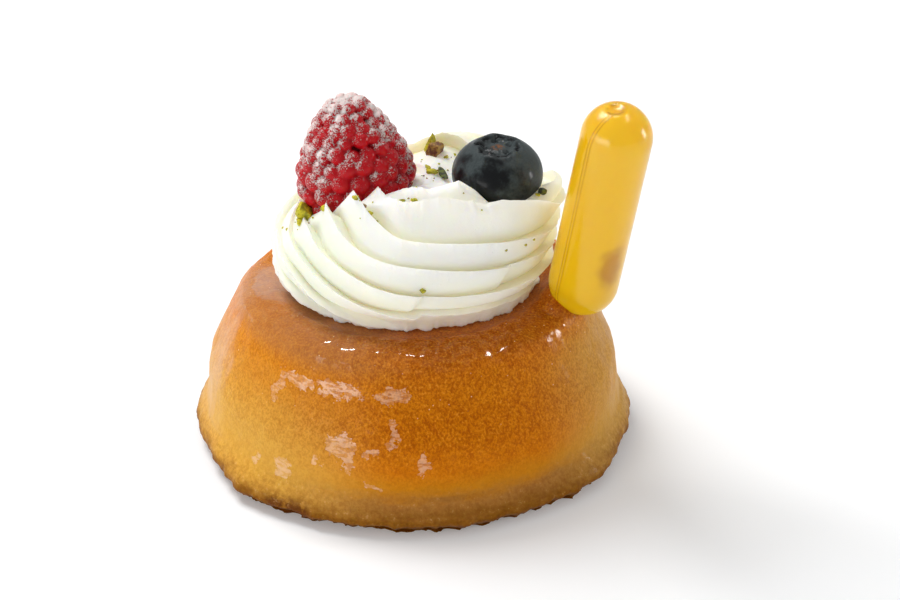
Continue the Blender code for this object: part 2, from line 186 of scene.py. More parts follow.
def apply_modifiers(item: bpy.types.Object) -> None:
    """Gives an object the plain mesh that its modifiers make.

    Args:
        item: The object.
    """
    bpy.context.view_layer.update()
    evaluated = item.evaluated_get(bpy.context.evaluated_depsgraph_get())
    mesh = bpy.data.meshes.new_from_object(evaluated)
    item.modifiers.clear()
    item.data = mesh


def apply_boolean(item: bpy.types.Object, operation: str, operand: bpy.types.Object) -> None:
    """Cuts or joins one object with another, leaves a plain mesh and removes the other.

    Args:
        item: The object that stays.
        operation: What the modifier does.
        operand: The object that is used up.
    """
    modifier = item.modifiers.new("Boolean", "BOOLEAN")
    modifier.operation = operation
    modifier.solver = "MANIFOLD"
    modifier.object = operand
    apply_modifiers(item)
    bpy.data.objects.remove(operand, do_unlink=True)


def operator(operation: str, swapped: bool = False) -> Callable[[Field, Value], Field]:
    """Makes a method of fields that adds a Math node.

    Args:
        operation: The node's operation.
        swapped: Whether the field is the second of the two values.

    Returns:
        The method.
    """
    def method(field_value: Field, other: Value) -> Field:
        """Adds the node for a field and another value."""
        pair = (other, field_value) if swapped else (field_value, other)
        return field_value.board.maths(operation, *pair)
    return method


class Field:
    """A value, vector or colour that varies over a surface. Sums with it add Math nodes."""

    def __init__(self, board: "Board", socket: bpy.types.NodeSocket) -> None:
        """Wraps a node's output."""
        self.board = board
        self.socket = socket

    __add__ = operator("ADD")
    __radd__ = operator("ADD", swapped=True)
    __sub__ = operator("SUBTRACT")
    __rsub__ = operator("SUBTRACT", swapped=True)
    __mul__ = operator("MULTIPLY")
    __rmul__ = operator("MULTIPLY", swapped=True)
    __truediv__ = operator("DIVIDE")
    __pow__ = operator("POWER")

    def step(self, low: float, high: float) -> "Field":
        """Rises smoothly from 0 at the low value to 1 at the high one, or falls if low is the larger.

        Args:
            low: Where it starts.
            high: Where it ends.

        Returns:
            The share.
        """
        rising = low < high
        stops = (low, high, 0.0, 1.0) if rising else (high, low, 1.0, 0.0)
        return self.board.node(
            "ShaderNodeMapRange", {"Value": self, 1: stops[0], 2: stops[1], 3: stops[2], 4: stops[3]},
            interpolation_type="SMOOTHSTEP", clamp=True,
        )


Value = float | Field


class Board:
    """Lays out one material's nodes."""

    def __init__(self, name: str, **constants: float | Colour) -> None:
        """Makes a material.

        Args:
            name: The material's name.
            constants: Values that are the same all over it, by socket name with _ for each space.
        """
        self.material = bpy.data.materials.new(name)
        self.material.use_nodes = True
        self.tree = self.material.node_tree
        self.shader = self.tree.nodes["Principled BSDF"]
        for key, value in constants.items():
            socket = self.shader.inputs[key.replace("_", " ").title().replace("Ior", "IOR")]
            is_colour = isinstance(value, tuple) and len(socket.default_value) == 4
            socket.default_value = (*value, 1.0) if is_colour else value

    def feed(self, socket: bpy.types.NodeSocket, value: Value | tuple[float, ...]) -> None:
        """Links a field to a socket, or sets a number, vector or colour on it.

        Args:
            socket: The input.
            value: What goes into it.
        """
        if isinstance(value, Field):
            self.tree.links.new(value.socket, socket)
        elif isinstance(value, tuple) and len(value) == 3 and len(socket.default_value) == 4:
            socket.default_value = (*value, 1.0)
        else:
            socket.default_value = value

    def node(self, kind: str, inputs: dict | None = None, output: str | int = 0, **settings: object) -> Field:
        """Adds a node.

        Args:
            kind: Its type.
            inputs: Values and links by socket name or number.
            output: The output to return.
            settings: Its settings, with a ramp's stops as (place, colour) pairs under stops.

        Returns:
            The chosen output.
        """
        stops = settings.pop("stops", None)
        made = self.tree.nodes.new(kind)
        for name, value in settings.items():
            setattr(made, name, value)
        if stops:
            ramp = made.color_ramp
            while len(ramp.elements) < len(stops):
                ramp.elements.new(1.0)
            for element, (place, colour) in zip(ramp.elements, stops):
                element.position = place
                element.color = (*colour, 1.0)
        for key, value in (inputs or {}).items():
            self.feed(made.inputs[key], value)
        return Field(self, made.outputs[output])

    def maths(self, operation: str, first: Value, second: Value) -> Field:
        """Adds a Math node."""
        return self.node("ShaderNodeMath", {0: first, 1: second}, operation=operation)

    def place(self) -> Field:
        """Gives the point on the piece in millimetres."""
        point = self.node("ShaderNodeTexCoord", output="Object")
        return self.node("ShaderNodeVectorMath", {0: point, "Scale": 1.0 / MM}, operation="SCALE")

    def stretched(self, vector: Field, shares: tuple[float, float, float]) -> Field:
        """Scales a vector along each axis."""
        return self.node("ShaderNodeVectorMath", {0: vector, 1: shares}, operation="MULTIPLY")

    def shifted(self, vector: Field, by: tuple[float, float, float]) -> Field:
        """Moves a vector."""
        return self.node("ShaderNodeVectorMath", {0: vector, 1: by}, operation="ADD")

    def split(self, vector: Field) -> tuple[Field, Field, Field]:
        """Gives a vector's three numbers."""
        made = self.node("ShaderNodeSeparateXYZ", {0: vector}).socket.node
        return tuple(Field(self, output) for output in made.outputs)

    def mark(self, name: str) -> Field:
        """Reads a number that the mesh stores at its points."""
        return self.node("ShaderNodeAttribute", output="Fac", attribute_name=name)

    def cloud(self, vector: Field, size: float, detail: float = 2.0, roughness: float = 0.5) -> Field:
        """Gives soft noise from 0 to 1 with patches of about a size in millimetres."""
        inputs = {"Vector": vector, "Scale": 1.0 / size, "Detail": detail, "Roughness": roughness}
        return self.node("ShaderNodeTexNoise", inputs)

    def cells(self, vector: Field, size: float) -> Field:
        """Gives the distance to the middle of the nearest of cells of about a size in millimetres."""
        return self.node("ShaderNodeTexVoronoi", {"Vector": vector, "Scale": 1.0 / size}, "Distance")

    def mix(self, share: Value, first: Field | Colour, second: Field | Colour) -> Field:
        """Mixes two colours."""
        return self.node("ShaderNodeMix", {0: share, 6: first, 7: second}, output=2, data_type="RGBA")

    def tint(self, colour: Field, share: Value, by: Field | Colour) -> Field:
        """Multiplies a colour by another, by a share."""
        inputs = {0: share, 6: colour, 7: by}
        return self.node("ShaderNodeMix", inputs, 2, data_type="RGBA", blend_type="MULTIPLY")

    def ramp(self, value: Field, stops: list[tuple[float, Colour]]) -> Field:
        """Reads a colour ramp."""
        return self.node("ShaderNodeValToRGB", {0: value}, stops=stops)

    def bump(self, height: Field, depth: float) -> Field:
        """Turns a height field of a depth in millimetres into a normal."""
        return self.node("ShaderNodeBump", {"Height": height, "Distance": depth * MM, "Strength": 1.0})

    def done(self, **varying: Value) -> bpy.types.Material:
        """Feeds what varies to the shader.

        Args:
            varying: Fields or numbers by socket name with _ for each space.

        Returns:
            The material.
        """
        for key, value in varying.items():
            self.feed(self.shader.inputs[key.replace("_", " ").title()], value)
        return self.material


@dataclass(frozen=True)
class Patch:
    """A place on the cake's side: degrees round it, height, and half its width and height in millimetres."""

    turn: float
    height: float
    width: float
    tall: float


class SkinPlace:
    """Fields that tell where a point of the cake's skin is, in millimetres and degrees."""

    def __init__(self, board: Board) -> None:
        """Lays out the nodes.

        Args:
            board: The material's nodes.
        """
        self.point = board.place()
        x, y, self.z = board.split(self.point)
        self.turn = board.maths("ARCTAN2", y, x) * math.degrees(1.0)
        self.reach = (x * x + y * y) ** 0.5
        self.east = x / self.reach
        self.left = (x * -0.86 + y * -0.5) / self.reach
        self.sunny = self.left.step(0.55, 1.0)
        drift = board.cloud(self.point, 9.0, 3.0)
        low_drift = board.cloud(board.stretched(self.point, (1.0, 1.0, 2.6)), 4.0, 4.0, 0.65)
        high_share = self.z.step(6.0, 14.0)
        sway = (drift - 0.5) * (high_share * 6.0) + (low_drift - 0.5) * (4.0 - high_share * 4.0)
        self.height = self.z + sway
        # Share of the right side that the finish paints darker as shade.
        self.shaded_right = self.east.step(0.58, 0.98) * self.height.step(30.0, 21.0) * self.height.step(2.0, 5.5)


@dataclass(frozen=True)
class CrustFinish:
    """Soaked crust under a thin glaze, darker at the top and the torn foot, with painted light and shade:
    paler and yellower on the lit left, darker on the right, and painted sheen, reflections and glints.
    """

    caramel: Colour = (0.540, 0.155, 0.006)
    brown: Colour = (0.660, 0.200, 0.005)
    orange: Colour = (0.680, 0.215, 0.003)
    amber: Colour = (0.650, 0.195, 0.001)
    golden: Colour = (0.610, 0.230, 0.006)
    beige: Colour = (0.430, 0.185, 0.036)
    foot: Colour = (0.270, 0.105, 0.006)
    lip: Colour = (0.150, 0.048, 0.003)
    # Painted light on the lit left side, then painted shade on the right side.
    painted_light_straw: Colour = (0.730, 0.390, 0.060)
    painted_shade_tan: Colour = (0.620, 0.345, 0.060)
    burnt: Colour = (0.130, 0.036, 0.005)
    burnt_turn: float = -123.0
    # Pale colour of the painted sheen on the crust's edges and rim.
    painted_sheen: Colour = (0.760, 0.600, 0.520)
    pore: Colour = (0.820, 0.500, 0.200)
    fine_shade: Colour = (0.64, 0.46, 0.30)
    middling_shade: Colour = (0.66, 0.46, 0.30)
    crumb_shade: Colour = (0.66, 0.52, 0.36)
    glow_speck: Colour = (0.98, 0.46, 0.05)
    painted_reflection: Colour = (1.0, 0.66, 0.44)
    painted_sky_reflection: Colour = (0.72, 0.86, 1.0)
    painted_glint: Colour = (1.0, 0.80, 0.52)
    degree_length: float = 0.58
    # Places of smooth glaze films, which the finish makes glossy and also paints with a pale reflection.
    films: tuple[Patch, ...] = (
        Patch(-132.8, 20.6, 0.9, 2.4),
        Patch(-125.5, 22.6, 3.8, 1.0),
        Patch(-111.5, 22.7, 4.2, 1.4),
        Patch(-95.0, 22.7, 3.3, 1.2),
        Patch(-109.5, 14.6, 2.0, 2.5),
        Patch(-107.0, 11.6, 0.6, 1.2),
        Patch(-94.5, 17.6, 0.9, 2.4),
        Patch(-101.0, 13.8, 1.2, 0.7),
        Patch(-126.5, 8.2, 1.5, 1.6),
        Patch(-136.5, 7.4, 0.7, 1.4),
        Patch(-116.0, 11.0, 0.9, 1.0),
        Patch(-87.0, 12.4, 0.8, 1.9),
        Patch(-99.0, 8.4, 1.3, 0.5),
    )

    def film(self, board: Board, at: SkinPlace) -> Field:
        """Masks the smooth films of glaze that mirror the soft box, with torn edges.

        Args:
            board: The material's nodes.
            at: Where the point of the skin is.

        Returns:
            The mask.
        """
        torn = board.cloud(at.point, 1.2, 4.0, 0.65)
        sway = board.cloud(board.shifted(at.point, (31.0, 0.0, 0.0)), 2.3, 3.0, 0.6)
        rise = board.cloud(board.shifted(at.point, (0.0, 47.0, 0.0)), 1.9, 3.0, 0.6)
        veils = board.cloud(board.stretched(at.point, (0.6, 0.6, 1.8)), 0.9, 3.0, 0.6)
        turn = at.turn + (sway - 0.5) * 9.0
        height = at.z + (rise - 0.5) * 5.0
        mask = None
        for patch in self.films:
            across = (turn - patch.turn) * (self.degree_length / patch.width)
            up = (height - patch.height) / patch.tall
            near = 1.0 - ((across * across) ** 1.5 + (up * up) ** 1.5) ** 0.6667
            mask = near if mask is None else board.maths("MAXIMUM", mask, near)
        return (mask + (torn - 0.5) * 2.0).step(0.08, 0.16) * (0.30 + veils.step(0.42, 0.56) * 0.70)

    def tone(self, board: Board, at: SkinPlace) -> Field:
        """Gives the soaked crust's colour by height and the burnt spot at the foot, with painted light on the
        lit left side and painted shade on the right.

        Args:
            board: The material's nodes.
            at: Where the point of the skin is.

        Returns:
            The colour.
        """
        colour = board.ramp(at.height / 30.0, [
            (0.02, self.lip), (0.09, self.foot), (0.18, self.beige), (0.27, self.golden), (0.37, self.amber),
            (0.62, self.amber), (0.75, self.orange), (0.87, self.brown), (0.95, self.caramel),
        ])
        # Painted light: the side facing the bright lamps on the left is mixed towards pale straw.
        sunlit = at.height.step(27.0, 11.0) * at.height.step(2.0, 5.5) * at.sunny
        colour = board.mix(sunlit, colour, self.painted_light_straw)
        # Painted shade: the right side is darker and yellower.
        colour = board.mix(at.shaded_right * 0.80, colour, self.painted_shade_tan)
        away = at.turn - self.burnt_turn
        burnt = board.cloud(at.point, 1.4, 4.0, 0.65).step(0.36, 0.50) * at.z.step(4.8, 2.6)
        burnt = burnt * away.step(-8.0, -4.0) * away.step(8.0, 4.0)
        return board.mix(burnt * 0.85, colour, self.burnt)

    def paint_edge_sheen(self, board: Board, at: SkinPlace, colour: Field) -> Field:
        """Paints a pale sheen, in streaks, down both edges of the cake as the camera sees them.

        Args:
            board: The material's nodes.
            at: Where the point of the skin is.
            colour: The colour so far.

        Returns:
            The new colour.
        """
        streaks = board.cloud(board.stretched(at.point, (1.0, 1.0, 0.25)), 1.6, 3.0)
        wander = (board.cloud(board.stretched(at.point, (1.0, 1.0, 0.5)), 6.0, 3.0) - 0.5) * 0.25
        across = at.east + wander
        edge = across.step(-0.90, -0.99) * at.z.step(4.0, 9.0) * at.z.step(28.5, 24.0)
        colour = board.mix(edge * (0.14 + streaks.step(0.25, 0.75) * 0.18), colour, self.painted_sheen)
        edge = across.step(0.90, 1.02) * at.z.step(5.0, 12.0) * at.z.step(25.0, 19.0)
        return board.mix(edge * (0.04 + streaks.step(0.35, 0.70) * 0.16), colour, self.painted_sheen)

    def pit(self, board: Board, at: SkinPlace, colour: Field) -> Field:
        """Shows the open crumb at the foot, and paints bright glints where tiny bubbles in the glaze at the
        shoulder catch the light.

        Args:
            board: The material's nodes.
            at: Where the point of the skin is.
            colour: The colour so far.

        Returns:
            The new colour.
        """
        crumb = board.cloud(at.point, 0.8, 3.0, 0.7)
        dark = crumb.step(0.58, 0.36) * at.z.step(9.0, 4.0) * 0.55
        colour = board.tint(colour, dark, self.crumb_shade)
        pale = crumb.step(0.60, 0.72) * at.z.step(9.0, 5.0) * at.z.step(1.5, 3.0) * 0.30
        colour = board.mix(pale, colour, self.pore)
        # Painted glints: bright dots where tiny bubbles in the glaze catch the light.
        bubbles = board.cells(at.point, 1.25).step(0.10, 0.05) * board.cloud(at.point, 3.0).step(0.46, 0.56)
        return board.mix(bubbles * at.z.step(15.0, 21.0) * 0.7, colour, self.painted_glint)

    def build(self) -> bpy.types.Material:
        """Builds the material.

        Returns:
            The material.
        """
        board = Board(
            "Soaked crust", subsurface_weight=0.22, subsurface_radius=(1.0, 0.42, 0.12),
            subsurface_scale=2.2 * MM, coat_roughness=0.06, coat_ior=1.4, specular_ior_level=0.04,
        )
        at = SkinPlace(board)
        colour = self.tone(board, at)
        fine = board.cloud(board.stretched(at.point, (1.0, 1.0, 0.8)), 0.36, 3.0, 0.65)
        middling = board.cloud(at.point, 1.3, 3.0, 0.6)
        speckled = at.z.step(6.0, 17.0) * (1.0 - at.sunny * 0.50) * (1.0 - at.shaded_right * 0.55)
        colour = board.tint(colour, fine.step(0.54, 0.40) * (speckled * 0.60 + 0.14), self.fine_shade)
        colour = board.tint(colour, middling.step(0.58, 0.38) * (speckled * 0.30 + 0.10), self.middling_shade)
        colour = board.mix(fine.step(0.56, 0.70) * (speckled * 0.34 + 0.04), colour, self.glow_speck)
        # Painted pale sheen down both edges as the camera sees them.
        colour = self.paint_edge_sheen(board, at, colour)
        ragged = (board.cloud(at.point, 2.6, 4.0, 0.6) - 0.5) * 6.0
        west = at.east.step(-0.88, -1.0)
        rim = (at.reach + ragged - west * 4.0).step(23.0, 21.8) * at.z.step(24.0, 27.0)
        film = self.film(board, at)
        pooled = board.maths("MAXIMUM", film, rim * (0.42 + west * 0.45))
        # Painted reflection: the glaze films are lightened towards the colour of the soft box's reflection.
        colour = board.mix(film * 0.40, colour, self.painted_reflection)
        # Painted sheen on the smooth glaze at the rim, stronger on the left.
        colour = board.mix(rim * (0.04 + west * 0.12), colour, self.painted_sheen)
        # Painted reflection of the sky: the upper left shoulder is tinted blue and lightened a little.
        sky_reflection_share = at.z.step(23.0, 26.5) * at.left.step(0.45, 0.90)
        colour = board.tint(colour, sky_reflection_share * 0.65, self.painted_sky_reflection)
        colour = board.mix(sky_reflection_share * 0.06, colour, self.painted_sheen)
        colour = self.pit(board, at, colour)
        weight = board.maths("MAXIMUM", 0.02 + middling.step(0.5, 0.75) * 0.14, pooled)
        shoulder = at.z.step(25.4, 26.6) * (1.0 - rim)
        weight = board.maths("MAXIMUM", weight, shoulder * middling.step(0.46, 0.56) * 0.7)
        grain = fine * 0.7 + board.cloud(at.point, 0.9, 2.0) * 0.6
        normal = board.bump(grain * (0.35 + speckled * 0.65) * (1.0 - pooled * 0.7), 0.18)
        rough = 0.46 - pooled * 0.22
        return board.done(base_color=colour, roughness=rough, coat_weight=weight, normal=normal)


@dataclass(frozen=True)
class CreamFinish:
    """Whipped cream, near white, with painted light and shade: painted yellow shade in the grooves and low
    down, a painted darkening on the lit left, painted warm light on the far right and a faint painted glow.
    """

    white: Colour = (0.965, 0.970, 0.895)
    # All but white are painted: shade in the grooves and low down, warm light far right, darkening on the lit
    # left, and glow.
    groove_shade: Colour = (0.980, 0.940, 0.700)
    low: Colour = (0.940, 0.885, 0.720)
    warm_light: Colour = (0.980, 0.900, 0.600)
    lit_side_darkening: Colour = (0.800, 0.825, 0.715)
    painted_glow: Colour = (1.000, 0.960, 0.760)

    def build(self) -> bpy.types.Material:
        """Builds the material.

        Returns:
            The material.
        """
        # The weak emission is a painted glow that warms the cream.
        board = Board(
            "Whipped cream", subsurface_weight=0.7, subsurface_radius=(1.0, 0.80, 0.45),
            subsurface_scale=3.2 * MM, specular_ior_level=0.22, emission_color=self.painted_glow,
            emission_strength=0.055,
        )
        place = board.place()
        groove = board.mark("groove")
        soft = board.cloud(place, 3.5, 2.0)
        x, y, z = board.split(place)
        # Painted shade: yellower in the grooves, with a little random change in tone.
        colour = board.mix(groove * 0.7 + (soft - 0.5) * 0.16, self.white, self.groove_shade)
        # Painted shade: yellower low down, fading out towards the far left.
        colour = board.mix(z.step(42.0, 32.0) * x.step(-22.0, -6.0) * 0.9, colour, self.low)
        # Painted darkening on the brightly lit left side, which holds its brightness down.
        colour = board.mix(x.step(-4.0, -18.0) * 0.9, colour, self.lit_side_darkening)
        # Painted warm light on the far right and at the back, where light comes through the amber rum.
        far = board.maths("MAXIMUM", x.step(12.0, 25.0), y.step(4.0, 18.0))
        colour = board.mix(far * 0.7, colour, self.warm_light)
        fine = board.cloud(place, 0.5, 3.0, 0.6)
        pits = board.cells(place, 1.1).step(0.16, 0.05) * board.cloud(place, 3.0).step(0.5, 0.62)
        normal = board.bump(fine * 0.5 + pits * -0.8, 0.05)
        return board.done(base_color=colour, roughness=0.42 + soft * 0.12, normal=normal)


class NutKind(Enum):
    """The kinds of chopped pistachio."""

    GREEN = "pistachio_green"
    DARK = "pistachio_dark"
    BROWN = "pistachio_skin"


@dataclass(frozen=True)
class NutFinish:
    """Chopped pistachio: two tones of the kernel with a fine fibrous break."""

    name: str
    light: Colour
    deep: Colour

    def build(self) -> bpy.types.Material:
        """Builds the material.

        Returns:
            The material.
        """
        board = Board(
            self.name, subsurface_weight=0.12, subsurface_radius=(1.0, 0.9, 0.3), subsurface_scale=0.6 * MM,
        )
        place = board.place()
        tone = board.cloud(place, 0.8, 3.0, 0.65)
        fibre = board.cloud(board.stretched(place, (1.0, 2.6, 1.4)), 0.35, 2.0)
        colour = board.mix(tone.step(0.38, 0.62), self.deep, self.light)
        return board.done(base_color=colour, roughness=0.5 + fibre * 0.2, normal=board.bump(fibre, 0.12))


@dataclass(frozen=True)
class RaspberryFinish:
    """Raspberry skin, wet and deep red and darkened between drupelets as painted shade, with icing sugar
    where the dust attribute says.
    """

    red: Colour = (0.500, 0.006, 0.012)
    deep: Colour = (0.210, 0.002, 0.004)
    sugar: Colour = (0.84, 0.77, 0.74)

    def build(self) -> bpy.types.Material:
        """Builds the material.

        Returns:
            The material.
        """
        board = Board(
            "Raspberry skin", subsurface_weight=0.35, subsurface_radius=(1.0, 0.10, 0.10),
            subsurface_scale=1.0 * MM, coat_roughness=0.16, coat_ior=1.4, specular_ior_level=0.05,
        )
        place = board.place()
        dust = board.mark("dust")
        crease_shade = board.mark("crease_shade")
        powder = board.cloud(place, 0.75, 4.0, 0.75)
        grains = board.cloud(place, 0.24, 2.0, 0.6)
        amount = dust + 0.05 + (powder - 0.5) * 1.5 + (grains - 0.5) * 1.9
        cover = amount.step(0.50, 0.86)
        # Painted shade: darker red between the drupelets.
        skin = board.mix(crease_shade, self.red, self.deep)
        colour = board.mix(cover * 0.88, skin, self.sugar)
        rough = 0.30 + cover * 0.6
        wet = (1.0 - cover) * 0.42
        relief = cover * (0.7 + powder * 0.6 + grains * 0.5)
        return board.done(
            base_color=colour, roughness=rough, coat_weight=wet, normal=board.bump(relief, 0.16),
        )


@dataclass(frozen=True)
class BlueberryFinish:
    """Blueberry skin: near black blue with pale bloom rubbed off in patches, a painted sheen at the top and
    right, and a dry brown crown with painted shade in its slots.
    """

    skin: Colour = (0.005, 0.006, 0.007)
    bloom: Colour = (0.062, 0.078, 0.080)
    dry: Colour = (0.160, 0.060, 0.020)
    gap: Colour = (0.002, 0.002, 0.003)

    def build(self) -> bpy.types.Material:
        """Builds the material.

        Returns:
            The material.
        """
        board = Board("Blueberry skin", coat_roughness=0.15, coat_ior=1.35, specular_ior_level=0.14)
        place = board.place()
        rubbed = board.cloud(place, 3.6, 4.0, 0.6)
        specks = board.cloud(place, 0.35, 2.0)
        x, y, z = board.split(place)
        # Real bloom in random patches, plus a painted sheen that makes it paler at the top and on the right.
        sheen_share = z.step(46.0, 54.0) * 0.24 + x.step(14.0, 22.0) * 0.16
        bloom = (rubbed + sheen_share - 0.12).step(0.42, 0.68) * (0.5 + specks * 0.6)
        crown = board.mark("crown")
        colour = board.mix(bloom, self.skin, self.bloom)
        colour = board.mix(crown * board.cloud(place, 0.6, 3.0).step(0.42, 0.56), colour, self.dry)
        slot = board.mark("slot")
        # Painted shade: near black in the crown's slots.
        colour = board.mix(slot, colour, self.gap)
        rough = 0.34 + bloom * 0.35
        normal = board.bump(specks, 0.03)
        return board.done(base_color=colour, roughness=rough, coat_weight=0.26 - bloom * 0.16, normal=normal)


@dataclass(frozen=True)
class PlasticFinish:
    """Clear soft plastic of the squeeze bulb, darkened brown along its seam and round its seal as painted
    shade.
    """

    clear: Colour = (0.985, 0.985, 0.975)
    # Brown of the painted shade along the seam and round the seal.
    seam: Colour = (0.420, 0.240, 0.160)

    def build(self) -> bpy.types.Material:
        """Builds the material.

        Returns:
            The material.
        """
        board = Board("Clear plastic", transmission_weight=1.0, ior=1.42, specular_ior_level=0.24)
        place = board.place()
        haze = board.cloud(place, 5.0, 2.0)
        seam = board.mark("seam")
        # Painted shade along the seam lines and round the seal.
        colour = board.mix(seam, self.clear, self.seam)
        return board.done(base_color=colour, roughness=0.17 + haze.step(0.4, 0.7) * 0.06)


@dataclass(frozen=True)
class RumFinish:
    """Amber rum, clear, with a slightly varied tone, a painted glow and a painted brown patch near its lower
    end where the cake shows through.
    """

    amber: Colour = (0.830, 0.500, 0.012)
    deep: Colour = (0.810, 0.455, 0.008)
    # Brown of the painted refraction patch, the painted glow, and the painted glow in that patch.
    brown: Colour = (0.520, 0.230, 0.020)
    painted_glow: Colour = (0.640, 0.480, 0.006)
    refraction_patch_glow: Colour = (0.34, 0.17, 0.0)
    refraction_patch_at: tuple[float, float, float] = (32.6, -15.0, 36.6)

    def build(self) -> bpy.types.Material:
        """Builds the material.

        Returns:
            The material.
        """
        # The emission is a painted glow of the rum.
        board = Board(
            "Amber rum", transmission_weight=0.42, ior=1.36, roughness=0.05, specular_ior_level=0.1,
            subsurface_weight=1.0, subsurface_radius=(1.0, 0.6, 0.1), subsurface_scale=5.0 * MM,
            emission_strength=0.34,
        )
        place = board.place()
        swirl = board.cloud(board.stretched(place, (1.0, 1.0, 0.35)), 6.0, 2.0)
        colour = board.mix(swirl.step(0.35, 0.7) * 0.4, self.amber, self.deep)
        # Painted refraction: a soft brown patch near the lower end, where the cake shows through.
        away = board.shifted(place, tuple(-number for number in self.refraction_patch_at))
        away = board.stretched(away, (1.0, 1.0, 0.55))
        far = board.node("ShaderNodeVectorMath", {0: away}, output="Value", operation="LENGTH")
        refraction_patch = (far + (board.cloud(place, 2.5, 2.0) - 0.5) * 2.5).step(3.4, 1.6)
        colour = board.mix(refraction_patch * 0.8, colour, self.brown)
        painted_glow = board.mix(refraction_patch * 0.8, self.painted_glow, self.refraction_patch_glow)
        return board.done(base_color=colour, emission_color=painted_glow)


@dataclass(frozen=True)
class FloorFinish:
    """A seamless white sweep."""

    white: Colour = (0.850, 0.860, 0.870)
    grey: Colour = (0.80, 0.80, 0.80)
    lift: float = 0.18

    def build(self) -> bpy.types.Material:
        """Builds the material.

        Returns:
            The material.
        """
        board = Board("White sweep", specular_ior_level=0.0, emission_color=(1.0, 1.0, 1.0))
        board.shader.inputs["Emission Strength"].default_value = self.lift
        mottle = board.cloud(board.place(), 40.0, 2.0)
        colour = board.mix(mottle * 0.02, self.white, self.grey)
        return board.done(base_color=colour, roughness=0.9)


@dataclass
class Bulb:
    """Sizes of the pipette, with its own frame along the bulb's axis."""

    low: Vector = field(default_factory=lambda: Vector((28.0, -8.8, 32.05)) * MM)
    high: Vector = field(default_factory=lambda: Vector((32.3, -14.0, 60.3)) * MM)
    radius: float = 5.75 * MM
    wall: float = 0.45 * MM
    stem_radius: float = 1.3 * MM
    stem_tip: float = 1.0 * MM
    stem_bore: float = 0.5 * MM
    stem_length: float = 14.0 * MM
    seal_radius: float = 1.5 * MM
    seal_depth: float = 0.6 * MM
    seal_at: tuple[float, float] = (-0.9 * MM, 0.75 * MM)
    turn_steps: int = 360
    end_steps: int = 30
    side_steps: int = 12

    @property
    def length(self) -> float:
        """The distance between the middles of the round ends."""
        return (self.high - self.low).length

    def frame(self) -> Matrix:
        """Gives the matrix from the pipette's own frame, with its lower round end at the origin."""
        return standing(self.low, (self.high - self.low).normalized())

    def outline(self, radius: float, first_radius: float) -> Profile:
        """Works out a capsule's outline from its lower end to its top.

        Args:
            radius: The capsule's radius.
            first_radius: The radius that the outline starts at.

        Returns:
            Points of radius and height.
        """
        start = -math.acos(min(first_radius / radius, 1.0))
        shares = [step / self.end_steps for step in range(self.end_steps + 1)]
        low = [start * (1.0 - share) for share in shares]
        points = [(radius * math.cos(angle), radius * math.sin(angle)) for angle in low]
        points += [(radius, self.length * step / self.side_steps) for step in range(1, self.side_steps)]
        high = [0.5 * math.pi * share for share in shares[:-1]]
        points += [(radius * math.cos(angle), self.length + radius * math.sin(angle)) for angle in high]
        return points + [(0.0, self.length + radius)]

    def from_seal(self, point: Vector) -> float:
        """Tells how far a point in the bulb's own frame is from the seal's axis."""
        return math.hypot(point.x - self.seal_at[0], point.y - self.seal_at[1])

    def press_seal(self, bm: Shape) -> None:
        """Presses the round seal's dimple into the top of a shape in the bulb's own frame.

        Args:
            bm: The shape, which is changed.
        """
        for vert in bm.verts:
            if vert.co.z > self.length + 0.4 * self.radius:
                vert.co.z -= self.seal_depth * smooth_step(1.25 - self.from_seal(vert.co) / self.seal_radius)


